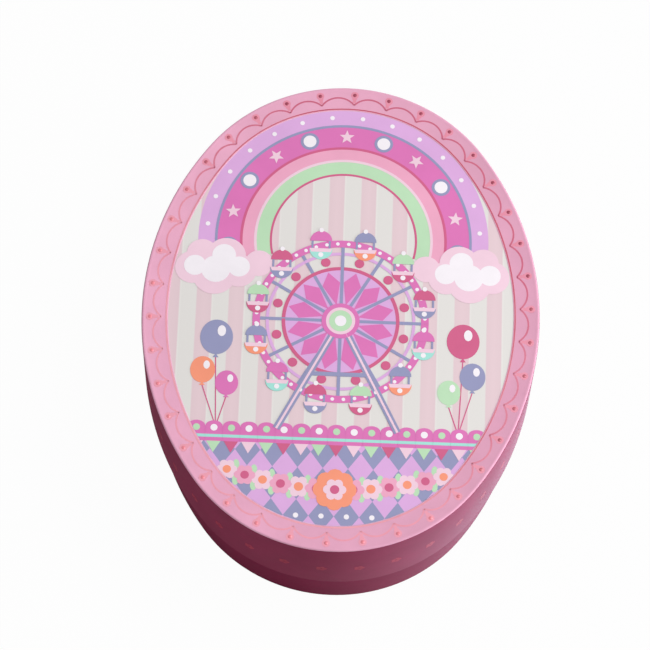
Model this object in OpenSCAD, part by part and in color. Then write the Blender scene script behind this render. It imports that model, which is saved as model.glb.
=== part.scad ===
// Oval carousel music box: a lift-off lid over a shallow base that holds a wind-up
// movement and a carousel turned by its spring barrel. Millimetres, +Z up, the origin
// on the ground under the middle of the box, the front towards -Y.

/* [Box] */
// Width of the lid across the short way of the oval
box_w = 180; // [170:1:200]
// Length of the lid along the long way of the oval
box_l = 228; // [222:1:250]
// Height of the closed box
box_h = 72; // [71:0.5:80]
// Height of the lid's skirt and top together
lid_depth = 42; // [38:0.5:46]
// Thickness of the lid's board
lid_board = 3; // [2:0.1:3.5]
// Gap between the lid's skirt and the wall of the base
lid_slip = 0.6; // [0.4:0.1:1]
// Thickness of the base's board
base_board = 3; // [2:0.1:4]
// Height of the base's wall
base_wall_h = 42; // [41:0.5:46]
// Thickness of the board across the top of the lid
top_board_t = 2.2; // [1.5:0.1:3]
// Thickness of the raised border on the lid
border_t = 0.8; // [0.5:0.1:1.2]
// Width of the raised border on the lid
border_w = 12; // [9:0.5:15]
// Thickness of the picture panel inside the border
picture_t = 0.3; // [0.2:0.1:0.6]
// Thickness of the band glued inside the lid's skirt
band_t = 2.6; // [2:0.1:3]
// Thickness of the lining paper
lining_t = 0.6; // [0.3:0.1:1]

/* [Base] */
// Thickness of the floor board
floor_t = 3; // [2:0.1:4]
// Thickness of the ledge band that carries the deck
ledge_t = 2; // [1.5:0.1:3]
// Height of the deck's underside above the ground
deck_z = 35; // [35:0.1:36]
// Thickness of the moulded deck
deck_t = 1.6; // [1.2:0.1:2]
// Depth of the two trinket wells below the deck's top
well_depth = 20; // [12:0.5:26]
// Width of the rim of deck between a well and the box's wall
well_rim = 6; // [4:0.5:10]
// Gap between the turntable and the wells
well_gap = 6; // [4:0.5:10]
// Half the width of the solid deck left between the two wells
well_bridge = 34; // [26:1:44]
// Thickness of the velvet pads in the wells
pad_t = 4; // [2:0.5:6]
// Inner radius of the recess for the winding key
key_well_r = 26.6; // [20:0.2:30]
// Wall of the key recess
key_well_wall = 1.4; // [1:0.1:2]
// Depth of the key recess from the ground to its roof
key_well_depth = 9.4; // [8.5:0.1:9.6]

/* [Movement] */
// Thickness of the cast bedplate
bedplate_t = 2; // [1.6:0.1:2.2]
// Radius of the winding arbor
arbor_r = 2; // [1.6:0.1:2.4]
// Outer radius of the spring barrel
barrel_r = 13.2; // [13.2:0.1:13.4]
// Height of the spring barrel with its cover
barrel_h = 9.6; // [9:0.1:9.7]
// Wall of the spring barrel
barrel_wall = 0.8; // [0.6:0.1:1]
// Module of the gear teeth
gear_m = 0.4; // [0.4:0.01:0.4]
// Teeth of the crown wheel on the barrel
crown_teeth = 60; // [60:1:60]
// Teeth of the pinion on the music cylinder
pinion_teeth = 20; // [20:1:20]
// Teeth of the wheel on the music cylinder
wheel_teeth = 32; // [32:1:32]
// Teeth of the governor's pinion
governor_teeth = 8; // [8:1:8]
// Teeth of the wheel that drives the worm
worm_wheel_teeth = 24; // [24:1:24]
// Threads on the governor's worm
worm_starts = 2; // [2:1:2]
// Radius of the music cylinder without its pins
cylinder_r = 6.2; // [5.8:0.1:6.3]
// Length of the music cylinder
cylinder_len = 20; // [18:0.5:20]
// How far the pins stand out of the cylinder
pin_h = 0.6; // [0.4:0.1:0.6]
// Number of teeth on the comb
comb_teeth = 18; // [16:1:20]
// Running clearance round each shaft, on the radius
run_gap = 0.06; // [0.04:0.01:0.08]

/* [Carousel] */
// Radius of the carousel's turntable
table_r = 50; // [46:1:52]
// Thickness of the turntable
table_t = 3; // [2:0.1:3.5]
// Gap between the deck and the turntable
table_lift = 1; // [0.8:0.1:1.5]
// Radius of the centre column
column_r = 9; // [7:0.5:11]
// Number of horses
horse_count = 6; // [4:1:6]
// Radius of the ring on which the horses stand
horse_ring_r = 36; // [32:0.5:40]
// Radius of the horses' poles
pole_r = 0.9; // [0.7:0.1:1.1]
// Radius of the ball on top of the canopy
finial_r = 1.4; // [1:0.1:1.6]
// Gap between the finial on the canopy and the lid's lining
finial_gap = 0.6; // [0.4:0.1:2]
// Number of scallops round the canopy's valance
scallops = 24; // [18:1:30]
// Depth of the valance under the canopy's eaves
valance_h = 4; // [3:0.1:4.5]
// Rise of the canopy's roof from the eaves to its top
roof_rise = 5.6; // [5:0.1:6]

/* [Hidden] */
$fn = 96;

// The oval: two end arcs and two side arcs. They meet in a common tangent, on lines through
// both centres that slope 3 in 4, so that every radius and centre is a round number
half_w = box_w / 2;
half_l = box_l / 2;
oval_step = (half_l - half_w) / 2;
end_r = half_w - oval_step;
end_c = 3 * oval_step;
side_c = 4 * oval_step;
side_r = end_r + 5 * oval_step;
reach = 50;

// Insets from the lid's outer face, and heights
base_inset = lid_board + lid_slip;
inner_inset = base_inset + base_board;
skirt_bottom_z = box_h - lid_depth;
board_top_z = box_h - border_t;
board_bottom_z = board_top_z - top_board_t;
deck_inset = inner_inset + 0.2;
deck_top_z = deck_z + deck_t;
well_floor_z = deck_top_z - well_depth;
well_inset = inner_inset + ledge_t + well_rim;
well_inner_r = table_r + well_gap;
edge_round = 0.8;
glue_gap = 0.02;

// Heights in the movement, and the places of its axes
roof_t = 1.6;
plate_z = key_well_depth + roof_t;
plate_top_z = plate_z + bedplate_t;
barrel_lift = 0.6;
barrel_z = plate_top_z + barrel_lift;
barrel_top_z = barrel_z + barrel_h;
addendum = gear_m;
dedendum = 1.25 * gear_m;
cover_t = 0.8;
crown_r = gear_m * crown_teeth / 2;
cyl_z = barrel_top_z + dedendum + gear_m * pinion_teeth / 2;
cylinder_arbor_r = 1;
bracket_y = barrel_r + 1.2;
bracket_t = 1.6;
cylinder_y = bracket_y + bracket_t + 1;
cylinder_end_y = cylinder_y + cylinder_len;
wheel_y = cylinder_end_y + 3;
wheel_face = 1.4;
governor_distance = gear_m * (wheel_teeth + governor_teeth) / 2;
governor_angle = 30;
governor_x = -governor_distance * cos(governor_angle);
governor_z = cyl_z - governor_distance * sin(governor_angle);
governor_arbor_r = 0.6;
worm_wheel_y = wheel_y + wheel_face + 1;
worm_wheel_face = 0.8;
worm_y = worm_wheel_y + worm_wheel_face / 2;
worm_pitch_r = 1.2;
worm_thread = 0.35;
worm_slack = 0.1;
worm_x = governor_x - gear_m * worm_wheel_teeth / 2 - worm_pitch_r - worm_slack;
worm_lead = PI * gear_m * worm_starts;
worm_len = 6;
frame_front_y = cylinder_end_y + 0.8;
frame_t = 1.3;
frame_back_y = worm_y + worm_pitch_r + worm_thread + 0.6;
frame_top_z = cyl_z + 3;
frame_arm_t = 1.3;
fly_z = frame_top_z + 0.4;
fly_r = 5;
fly_h = 3.4;
fly_hub_r = 1.6;
tooth_share = 0.36;
worm_share = 0.3;
crown_face = 1.4;
bush_r = 5;
comb_tip_x = cylinder_r + pin_h + 0.1;
comb_len = 15;
comb_t = 1;
comb_seat_w = 6;
comb_seat_x = comb_tip_x + comb_len - comb_seat_w;
bedplate_y = 8;

// Heights in the carousel
table_z = deck_top_z + table_lift;
table_top_z = table_z + table_t;
roof_edge_t = 0.8;
finial_h = 0.2 + 2 * finial_r;
eaves_z = board_bottom_z - lining_t - finial_gap - finial_h - roof_rise - roof_edge_t;
pole_len = eaves_z - table_top_z;
// A horse is drawn for poles of this length, and grows and shrinks with them
drawn_pole_len = 17.6;
horse_size = pole_len / drawn_pole_len;
roof_r = table_r - 1;
roof_skin = 1.4;

function roof_over(r) = eaves_z + roof_edge_t + roof_rise * pow(1 - r / roof_r, 1.4);
function roof_under(r) = max(eaves_z, roof_over(min(r * roof_r / (roof_r - 1.4), roof_r)) - roof_skin);

// Stop lever: its pivot, its knob, and the swing that brings its pad to the fly's hub
lever_pivot = [-18, 26];
lever_knob = [-table_r - 16, 12];
lever_z = fly_z + 0.2;
lever_t = 0.8;
lever_post_r = 1.5;
lever_stem_r = 1.2;
lever_pad_w = 2;
pad_clear = 2;
pad_hold = 0.1;
fly_offset = [worm_x - lever_pivot[0], worm_y - lever_pivot[1]];
pad_reach = norm(fly_offset);
pad_dir = atan2(fly_offset[1], fly_offset[0]) + asin((fly_hub_r + lever_pad_w / 2 + pad_clear) / pad_reach);
pad_stop = atan2(fly_offset[1], fly_offset[0]) + asin((fly_hub_r + lever_pad_w / 2 + pad_hold) / pad_reach);
lever_swing = pad_dir - pad_stop;
knob_reach = norm(lever_knob - lever_pivot);
knob_dir = atan2(lever_knob[1] - lever_pivot[1], lever_knob[0] - lever_pivot[0]) + 360;

function polar(r, a) = [r * cos(a), r * sin(a)];

// Wedges with slopes of 3 in 4, in which the slices of the oval are cut
module side_wedge() {
    polygon([[0, 0], [4 * reach, -3 * reach], [7 * reach, 0], [4 * reach, 3 * reach]]);
}

module end_wedge() {
    polygon([[0, 0], [4 * reach, 3 * reach], [0, 7 * reach], [-4 * reach, 3 * reach]]);
}

// Block in the middle of the oval, under the points of its four slices
module core_2d() {
    square([half_w, 2 * end_c + half_w / 5], center = true);
}

// The oval, pulled in all round by inset
module oval_2d(inset = 0) {
    core_2d();
    for (side = [0, 180]) rotate(side) {
        translate([-side_c, 0]) intersection() {
            circle(r = side_r - inset);
            side_wedge();
        }
        translate([0, end_c]) intersection() {
            circle(r = end_r - inset);
            end_wedge();
        }
    }
}

module oval_plate(inset, z0, z1) {
    translate([0, 0, z0]) linear_extrude(z1 - z0) oval_2d(inset);
}

// Profile of a disc of radius r between two heights, with its rim's lower and upper edges eased
module disc_profile(r, z0, z1, low, high) {
    polygon(concat(
        [[0, z0]],
        low > 0 ? [for (a = [-90:22.5:0]) [r - low + low * cos(a), z0 + low + low * sin(a)]] : [[r, z0]],
        high > 0 ? [for (a = [0:22.5:90]) [r - high + high * cos(a), z1 - high + high * sin(a)]]
            : [[r, z1]],
        [[0, z1]]));
}

// Oval plate with its lower and upper edges eased
module eased_plate(inset, z0, z1, low, high) {
    translate([0, 0, z0]) linear_extrude(z1 - z0) core_2d();
    for (side = [0, 180]) rotate(side) {
        translate([-side_c, 0, 0]) intersection() {
            rotate_extrude() disc_profile(side_r - inset, z0, z1, low, high);
            translate([0, 0, z0 - 1]) linear_extrude(z1 - z0 + 2) side_wedge();
        }
        translate([0, end_c, 0]) intersection() {
            rotate_extrude() disc_profile(end_r - inset, z0, z1, low, high);
            translate([0, 0, z0 - 1]) linear_extrude(z1 - z0 + 2) end_wedge();
        }
    }
}

// Oval ring with a straight inner wall and eased outer edges
module eased_ring(outer, inner, z0, z1, low, high) {
    difference() {
        eased_plate(outer, z0, z1, low, high);
        oval_plate(inner, z0 - 1, z1 + 1);
    }
}

module oval_ring(outer, inner, z0, z1) {
    difference() {
        oval_plate(outer, z0, z1);
        oval_plate(inner, z0 - 1, z1 + 1);
    }
}

// ---- Lid ----

module lid_skirt() {
    color("#9b4a6c") eased_ring(0, lid_board, skirt_bottom_z, board_top_z, edge_round, 0.3);
}

module lid_top_board() {
    color("#e8a9c4") oval_plate(lid_board + glue_gap, board_bottom_z, board_top_z);
}

module lid_border_frame() {
    color("#eeb0ca") eased_ring(0.2, border_w, board_top_z, box_h, 0, border_t * 0.6);
}

module picture_panel() {
    color("#e9dfd6") oval_plate(border_w + glue_gap, board_top_z, board_top_z + picture_t);
}

module lid_inner_band() {
    color("#f3dfe6") oval_ring(lid_board, lid_board + band_t, base_wall_h, board_bottom_z);
}

module lid_lining() {
    color("#f3dfe6") oval_plate(lid_board + band_t, board_bottom_z - lining_t, board_bottom_z);
}

// ---- Base ----

module base_wall() {
    color("#8a3f60") eased_ring(base_inset, inner_inset, 0, base_wall_h, edge_round, edge_round / 2);
}

module base_floor() {
    color("#7c3a57") difference() {
        oval_plate(inner_inset, 0, floor_t);
        translate([0, 0, -1]) cylinder(r = key_well_r + key_well_wall + 0.1, h = floor_t + 2);
    }
}

module deck_ledge() {
    color("#d9b7c4") oval_ring(inner_inset, inner_inset + ledge_t, floor_t, deck_z);
}

// One crescent-shaped well outline, grown or shrunk by grow; side is -1 in front, 1 behind
module well_2d(side, grow = 0) {
    difference() {
        intersection() {
            oval_2d(well_inset - grow);
            translate([-half_w, side > 0 ? well_bridge - grow : -half_l])
                square([box_w, half_l - well_bridge + grow]);
        }
        circle(r = well_inner_r - grow);
    }
}

// Curved slot in the deck for the stop lever's stem
module lever_slot_2d() {
    wide = lever_stem_r + 1;
    translate(lever_pivot) {
        difference() {
            intersection() {
                circle(r = knob_reach + wide);
                polygon([[0, 0], polar(2 * knob_reach, knob_dir - lever_swing),
                    polar(2 * knob_reach, knob_dir)]);
            }
            circle(r = knob_reach - wide);
        }
        for (a = [knob_dir - lever_swing, knob_dir]) translate(polar(knob_reach, a)) circle(r = wide);
    }
}

module deck() {
    color("#a86a94") difference() {
        union() {
            oval_plate(deck_inset, deck_z, deck_top_z);
            for (side = [-1, 1]) translate([0, 0, well_floor_z - deck_t])
                linear_extrude(well_depth + deck_t) well_2d(side, deck_t);
        }
        for (side = [-1, 1]) translate([0, 0, well_floor_z])
            linear_extrude(well_depth + 1) well_2d(side);
        translate([0, 0, deck_z - 1]) cylinder(r = bush_r + 0.02, h = deck_t + 2);
        translate([0, 0, deck_z - 1]) linear_extrude(deck_t + 2) lever_slot_2d();
    }
}

// Flanged bush in the deck that carries the output shaft and the turntable
module shaft_bush() {
    color("#c9a85a") difference() {
        union() {
            translate([0, 0, deck_z - 1]) cylinder(r = bush_r, h = deck_t + 1 + table_lift * 0.4);
            translate([0, 0, deck_top_z]) cylinder(r = bush_r + 1.6, h = table_lift * 0.4);
        }
        translate([0, 0, deck_z - 2]) cylinder(r = arbor_r + run_gap, h = deck_t + 5);
    }
}

module trinket_pad(side) {
    color("#b98bb9") translate([0, 0, well_floor_z]) linear_extrude(pad_t) well_2d(side, -0.8);
}

// Recess that the winding key turns in, with a flange on the floor board
module key_well() {
    outer = key_well_r + key_well_wall;
    flange = 4;
    color("#5b4452") difference() {
        union() {
            cylinder(r = outer, h = plate_z);
            translate([0, 0, floor_t]) cylinder(r = outer + flange, h = key_well_wall);
        }
        translate([0, 0, -1]) cylinder(r = key_well_r, h = key_well_depth + 1);
        cylinder(r = arbor_r + 1.2, h = plate_z + 1);
        for (p = bedplate_holes) translate([p[0], p[1], 0]) cylinder(r = screw_r + 0.2, h = plate_z + 1);
    }
}

// ---- Movement ----

screw_r = 1;
bedplate_holes = [[-13, -13], [13, -13], [-15, 14], [18, 14]];
standoff_places = [[-18, 42], [18, 42]];
standoff_r = 3;

module bedplate_2d() {
    left_x = standoff_places[0][0] - standoff_r;
    right_x = comb_seat_x + comb_seat_w + 0.1;
    circle(r = barrel_r + 7);
    translate([left_x, bedplate_y]) square([right_x - left_x, frame_back_y + frame_t + 2 - bedplate_y]);
}

module bedplate() {
    color("#b8b4b0") difference() {
        union() {
            translate([0, 0, plate_z]) linear_extrude(bedplate_t) bedplate_2d();
            // boss under the barrel
            translate([0, 0, plate_top_z]) cylinder(r = arbor_r + 2, h = barrel_lift - 0.15);
            // ledge for the comb
            translate([comb_seat_x, cylinder_y - 1, plate_top_z - 0.5])
                cube([comb_seat_w, cylinder_len + 2, cyl_z - comb_t / 2 - plate_top_z + 0.5]);
        }
        translate([0, 0, plate_z - 1]) cylinder(r = arbor_r + run_gap, h = bedplate_t + 3);
        for (p = concat(bedplate_holes, standoff_places))
            translate([p[0], p[1], plate_z - 1]) cylinder(r = screw_r, h = bedplate_t + 2);
        for (y = comb_screw_y) translate([comb_seat_x + comb_seat_w / 2, y, cyl_z - comb_t / 2 - 4])
            cylinder(r = screw_r, h = 5);
    }
}

comb_screw_y = [cylinder_y + 4, cylinder_y + cylinder_len - 4];

module movement_standoffs() {
    color("#c9c4bf") for (p = standoff_places) translate([p[0], p[1], floor_t]) difference() {
        cylinder(r = standoff_r, h = plate_z - floor_t);
        translate([0, 0, plate_z - floor_t - 5]) cylinder(r = screw_r, h = 6);
    }
}

// Pan-head screw whose head rests on z = 0 and whose shank runs down; the slot is cut in the head
module screw(length, head_r = 2, head_h = 1, r = screw_r) {
    difference() {
        union() {
            translate([0, 0, -length]) cylinder(r = r, h = length + 0.1);
            cylinder(r = head_r, h = head_h);
        }
        translate([-head_r - 1, -0.25, head_h - 0.5]) cube([2 * head_r + 2, 0.5, 1]);
    }
}

module movement_screws() {
    color("#8d8a86") {
        for (p = bedplate_holes) translate([p[0], p[1], key_well_depth]) mirror([0, 0, 1])
            screw(roof_t + bedplate_t, head_h = 0.9);
        for (p = standoff_places) translate([p[0], p[1], plate_top_z])
            screw(bedplate_t + 4.5, head_r = 1.9);
    }
}

// Upright with the inner bearing of the cylinder's arbor
module cylinder_bracket() {
    color("#aaa6a2") difference() {
        union() {
            translate([-5, bracket_y, plate_top_z]) cube([10, bracket_t, cyl_z - plate_top_z]);
            translate([0, bracket_y + bracket_t, cyl_z]) rotate([90, 0, 0]) cylinder(r = 5, h = bracket_t);
        }
        translate([0, bracket_y + bracket_t + 1, cyl_z]) rotate([90, 0, 0])
            cylinder(r = cylinder_arbor_r + run_gap, h = bracket_t + 2);
    }
}

// Steel comb: a clamped back and tuned teeth that get shorter towards the treble
module music_comb() {
    pitch = (cylinder_len - 2) / comb_teeth;
    back_x = comb_tip_x + comb_len - 6.5;
    color("#d5d6d8") difference() {
        union() {
            translate([back_x, cylinder_y - 0.5, cyl_z - comb_t / 2])
                cube([comb_tip_x + comb_len - back_x, cylinder_len + 1, comb_t]);
            for (i = [0:comb_teeth - 1]) {
                root = back_x - 3.2 * i / (comb_teeth - 1);
                translate([0, cylinder_y + 1 + (i + 0.5) * pitch, cyl_z + comb_t / 2]) rotate([90, 0, 0])
                    translate([0, 0, -pitch * 0.31]) linear_extrude(pitch * 0.62)
                    polygon([[comb_tip_x, -0.45], [comb_tip_x, 0], [back_x + 0.5, 0],
                        [back_x + 0.5, -comb_t], [root, -comb_t], [root - 1.5, -0.5]]);
            }
        }
        for (y = comb_screw_y) translate([comb_tip_x + comb_len - 3, y, cyl_z - comb_t])
            cylinder(r = screw_r + 0.1, h = 2 * comb_t);
    }
}

module comb_screws() {
    color("#8d8a86") for (y = comb_screw_y)
        translate([comb_tip_x + comb_len - 3, y, cyl_z + comb_t / 2]) screw(comb_t + 3);
}

// Frame with the bearings of the governor's wheel and of its upright worm shaft
module governor_frame() {
    left = worm_x - 2.4;
    color("#c8c3bb") difference() {
        union() {
            translate([left, frame_front_y, plate_top_z])
                cube([governor_x + 1.9 - left, frame_t, frame_top_z - plate_top_z]);
            translate([left, frame_back_y, plate_top_z])
                cube([4 - left, frame_t, frame_top_z - plate_top_z]);
            for (z = [plate_top_z, frame_top_z - frame_arm_t])
                translate([left, frame_front_y, z])
                    cube([4.8, frame_back_y + frame_t - frame_front_y, frame_arm_t]);
        }
        for (y = [frame_front_y, frame_back_y]) translate([governor_x, y + frame_t + 1, governor_z])
            rotate([90, 0, 0]) cylinder(r = governor_arbor_r + run_gap, h = frame_t + 2);
        translate([0, frame_back_y + frame_t + 1, cyl_z]) rotate([90, 0, 0])
            cylinder(r = cylinder_arbor_r + run_gap, h = frame_t + 2);
        translate([worm_x, worm_y, plate_top_z + 0.4])
            cylinder(r = governor_arbor_r + run_gap, h = frame_top_z);
    }
}

// Wrap spring that lets the arbor turn one way only, wound of flat wire
module clutch_spring() {
    coil_h = 0.6;
    color("#9a9a9a") difference() {
        for (i = [0:1]) translate([0, 0, key_well_depth + 0.1 + i * (coil_h + 0.1)])
            cylinder(r = arbor_r + 0.8, h = coil_h + 0.1);
        translate([0, 0, key_well_depth - 1]) cylinder(r = arbor_r + run_gap, h = 4);
    }
}

// ---- Winder ----

module winding_key() {
    bow_w = 25;
    bow_h = 6.4;
    bow_t = 1.6;
    bow_z = 1.2;
    color("#c9a85a") difference() {
        union() {
            translate([0, 0, bow_z + bow_h - 2]) cylinder(r = 3.4, h = 2.6);
            for (s = [-1, 1]) translate([s * (bow_w - bow_h) / 2, bow_t / 2, bow_z + bow_h / 2])
                rotate([90, 0, 0]) cylinder(r = bow_h / 2, h = bow_t);
            translate([-(bow_w - bow_h) / 2, -bow_t / 2, bow_z])
                cube([bow_w - bow_h, bow_t, bow_h]);
        }
        for (s = [-1, 1]) translate([s * (bow_w - bow_h) / 2, bow_t, bow_z + bow_h / 2])
            rotate([90, 0, 0]) cylinder(r = 1.7, h = 2 * bow_t);
        translate([0, 0, bow_z + 2]) cylinder(r = arbor_r, h = 8);
    }
}

module winding_arbor() {
    color("#b9b9bb") {
        translate([0, 0, 3.2]) cylinder(r = arbor_r, h = barrel_top_z - cover_t - 0.6 - 3.2);
        translate([0, 0, barrel_z + 1.2]) cylinder(r = arbor_r + 1, h = 5.6);
    }
}

// ---- Spring barrel ----

// Ring of straight teeth that stand up from the barrel's cover
module crown_ring() {
    tooth_w = PI * gear_m * tooth_share;
    depth = addendum + dedendum - 0.05;
    for (i = [0:crown_teeth - 1]) rotate(90 + i * 360 / crown_teeth)
        rotate([90, 0, 90]) translate([0, 0, crown_r - crown_face / 2]) linear_extrude(crown_face)
            polygon([[-tooth_w * 0.72, 0], [tooth_w * 0.72, 0], [tooth_w * 0.5, depth * 0.55],
                [tooth_w * 0.26, depth], [-tooth_w * 0.26, depth], [-tooth_w * 0.5, depth * 0.55]]);
}

module spring_barrel() {
    color("#c8a45c") difference() {
        translate([0, 0, barrel_z]) cylinder(r = barrel_r, h = barrel_h - cover_t);
        translate([0, 0, barrel_z + barrel_wall]) cylinder(r = barrel_r - barrel_wall, h = barrel_h);
        translate([0, 0, barrel_z - 1]) cylinder(r = arbor_r + run_gap, h = 3);
    }
}

module barrel_cover() {
    color("#d6b66c") difference() {
        union() {
            translate([0, 0, barrel_top_z - cover_t]) cylinder(r = barrel_r, h = cover_t);
            translate([0, 0, barrel_top_z - 0.02]) crown_ring();
        }
        translate([0, 0, barrel_top_z - 2]) cylinder(r = arbor_r + 0.02, h = 4);
    }
}

// Coiled mainspring, drawn as a spiral strip between the arbor's hub and the barrel
module mainspring() {
    turns = 7;
    strip = 0.25;
    inner = arbor_r + 1.3;
    outer = barrel_r - barrel_wall - 0.4;
    steps = turns * 24;
    function spiral(i, off) = polar(inner + (outer - inner) * i / steps + off, i * 360 / 24);
    color("#6f7780") translate([0, 0, barrel_z + 1.4]) linear_extrude(5.2)
        polygon(concat([for (i = [0:steps]) spiral(i, 0)], [for (i = [steps:-1:0]) spiral(i, strip)]));
}

module output_shaft() {
    shaft_z = barrel_top_z - cover_t;
    color("#b9b9bb") {
        translate([0, 0, shaft_z]) cylinder(r = arbor_r, h = table_top_z + 1 - shaft_z);
        translate([0, 0, table_z - table_lift * 0.5]) cylinder(r = arbor_r + 1.6, h = table_lift * 0.5);
    }
}

// ---- Gears ----

// Spur gear outline with tapered teeth; the first tooth points along +X
module gear_2d(teeth, share = tooth_share, mod = gear_m) {
    pitch_r = mod * teeth / 2;
    step = 360 / teeth;
    function tooth(i) = [
        polar(pitch_r - dedendum, (i - share / 2 - 0.07) * step),
        polar(pitch_r, (i - share / 2) * step),
        polar(pitch_r + addendum, (i - share / 4) * step),
        polar(pitch_r + addendum, (i + share / 4) * step),
        polar(pitch_r, (i + share / 2) * step),
        polar(pitch_r - dedendum, (i + share / 2 + 0.07) * step)];
    polygon([for (i = [0:teeth - 1]) each tooth(i)]);
}

// A gear on an axis along +Y, turned by phase, with a bore
module cross_gear(x, y, z, teeth, face, bore_r, phase = 0, share = tooth_share) {
    translate([x, y + face, z]) rotate([90, 0, 0]) linear_extrude(face) difference() {
        rotate(phase) gear_2d(teeth, share);
        circle(r = bore_r);
    }
}

module music_cylinder() {
    per_track = 4;
    pitch = (cylinder_len - 2) / comb_teeth;
    color("#cfa94f") difference() {
        translate([0, cylinder_y + cylinder_len, cyl_z]) rotate([90, 0, 0]) union() {
            cylinder(r = cylinder_r, h = cylinder_len);
            for (i = [0:comb_teeth - 1]) for (k = [0:per_track - 1])
                rotate(17 + k * 360 / per_track + (i * 67 + k * k * 31) % 70)
                    translate([cylinder_r - 0.3, 0, 1 + (i + 0.5) * pitch]) rotate([0, 90, 0])
                        cylinder(r = 0.22, h = pin_h + 0.3, $fn = 6);
        }
        translate([0, cylinder_y + cylinder_len + 1, cyl_z]) rotate([90, 0, 0])
            cylinder(r = cylinder_arbor_r + 0.01, h = cylinder_len + 2);
    }
}

module cylinder_arbor() {
    start = crown_r - 2;
    color("#b9b9bb") translate([0, frame_back_y + frame_t + 0.4, cyl_z]) rotate([90, 0, 0])
        cylinder(r = cylinder_arbor_r, h = frame_back_y + frame_t + 0.4 - start);
}

module cylinder_pinion() {
    color("#d6b66c") cross_gear(0, crown_r - 1.4, cyl_z, pinion_teeth, 2.6,
        cylinder_arbor_r + 0.01, 180 / pinion_teeth);
}

module cylinder_wheel() {
    color("#d6b66c") cross_gear(0, wheel_y, cyl_z, wheel_teeth, wheel_face,
        cylinder_arbor_r + 0.01, 180 + governor_angle);
}

// ---- Governor ----

module governor_arbor() {
    color("#b9b9bb") translate([governor_x, frame_back_y + frame_t + 0.3, governor_z]) rotate([90, 0, 0])
        cylinder(r = governor_arbor_r, h = frame_back_y + frame_t + 0.6 - frame_front_y);
}

module governor_pinion() {
    color("#d6b66c") cross_gear(governor_x, wheel_y - 0.2, governor_z, governor_teeth, wheel_face + 0.4,
        governor_arbor_r + 0.01, governor_angle + 180 / governor_teeth);
}

module worm_wheel() {
    color("#e6e2d6") cross_gear(governor_x, worm_wheel_y, governor_z, worm_wheel_teeth, worm_wheel_face,
        governor_arbor_r + 0.01, 0, worm_share);
}

module worm_shaft() {
    color("#9fa3a8") translate([worm_x, worm_y, plate_top_z + 0.5])
        cylinder(r = governor_arbor_r, h = fly_z + fly_h - plate_top_z - 0.5);
}

// Two-start worm: an oval section twisted along the shaft, with a gap at the wheel's height
module worm() {
    color("#9fa3a8") translate([worm_x, worm_y, governor_z - worm_len / 2]) difference() {
        rotate(90 - 180 * worm_len / worm_lead)
            linear_extrude(worm_len, twist = -360 * worm_len / worm_lead, slices = 30, $fn = 12)
            polygon([for (a = [0:30:330]) [(worm_pitch_r + worm_thread) * cos(a),
                (worm_pitch_r - worm_thread) * sin(a)]]);
        translate([0, 0, -1]) cylinder(r = governor_arbor_r + 0.03, h = worm_len + 2, $fn = 24);
    }
}

// Fly: a blade on a hub, with the hub drawn down to where the stop lever's pad reaches it
module air_brake() {
    color("#e6e2d6") translate([worm_x, worm_y, fly_z]) difference() {
        union() {
            cylinder(r = fly_hub_r, h = fly_h);
            translate([-fly_r, -0.3, fly_h - 1.9]) cube([2 * fly_r, 0.6, 1.7]);
        }
        translate([0, 0, -1]) cylinder(r = governor_arbor_r + 0.01, h = fly_h + 2);
    }
}

// ---- Stop lever ----

module lever_post() {
    color("#b9b9bb") translate([lever_pivot[0], lever_pivot[1], 0]) {
        translate([0, 0, plate_top_z]) cylinder(r = lever_post_r + 1, h = lever_z - 0.1 - plate_top_z);
        translate([0, 0, lever_z - 0.2]) cylinder(r = lever_post_r, h = lever_t + 0.4);
        translate([0, 0, lever_z + lever_t + 0.1]) cylinder(r = lever_post_r + 0.8, h = 0.6);
    }
}

// Flat arm from the pivot with a round boss at its end
module arm_2d(length, boss, dir) {
    rotate(dir) translate([0, -boss * 0.35]) square([length, boss * 0.7]);
    translate(polar(length, dir)) circle(r = boss / 2);
}

module stop_lever() {
    color("#b9b9bb") translate([lever_pivot[0], lever_pivot[1], lever_z]) {
        linear_extrude(lever_t) difference() {
            union() {
                circle(r = lever_post_r + 1.4);
                arm_2d(knob_reach, 2 * lever_stem_r + 1.4, knob_dir);
                arm_2d(pad_reach, lever_pad_w, pad_dir);
            }
            circle(r = lever_post_r + run_gap);
        }
        translate(polar(knob_reach, knob_dir))
            cylinder(r = lever_stem_r, h = deck_top_z + 1 - lever_z);
    }
}

module stop_knob() {
    color("#e9c7d6") translate(lever_pivot) translate(polar(knob_reach, knob_dir))
        translate([0, 0, deck_top_z + 1]) {
            cylinder(r = 3.2, h = 1);
            translate([0, 0, 1]) cylinder(r1 = 3.2, r2 = 2.2, h = 1.2);
        }
}

// ---- Carousel ----

// Two-stepped platform with a bead round its foot
module turntable() {
    step_r = table_r - 3.4;
    foot_z = table_z + table_t * 0.6;
    color("#d14f9c") difference() {
        union() {
            translate([0, 0, table_z + table_t * 0.1]) cylinder(r = table_r, h = table_t * 0.4);
            translate([0, 0, table_z]) cylinder(r = table_r - table_t * 0.1, h = table_t * 0.6);
            translate([0, 0, foot_z - 0.1]) cylinder(r1 = step_r + 0.5, r2 = step_r, h = table_t * 0.4 + 0.1);
        }
        translate([0, 0, table_z - 1]) cylinder(r = arbor_r + 0.02, h = table_t + 2);
    }
}

// Hollow column with a moulded foot and a flared head under the roof
module centre_column() {
    top_z = roof_under(column_r);
    h = top_z - table_top_z;
    wall = 1.2;
    color("#d7a6e0") translate([0, 0, table_top_z]) rotate_extrude() polygon([
        [column_r - wall, 0], [column_r + 3, 0], [column_r + 3, 0.9], [column_r + 1.8, 1.5],
        [column_r + 0.6, 2.2], [column_r, 3], [column_r, h * 0.72], [column_r + 0.7, h * 0.78],
        [column_r + 0.7, h * 0.84], [column_r, h * 0.88], [column_r, h], [column_r - wall, h]]);
}

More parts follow.
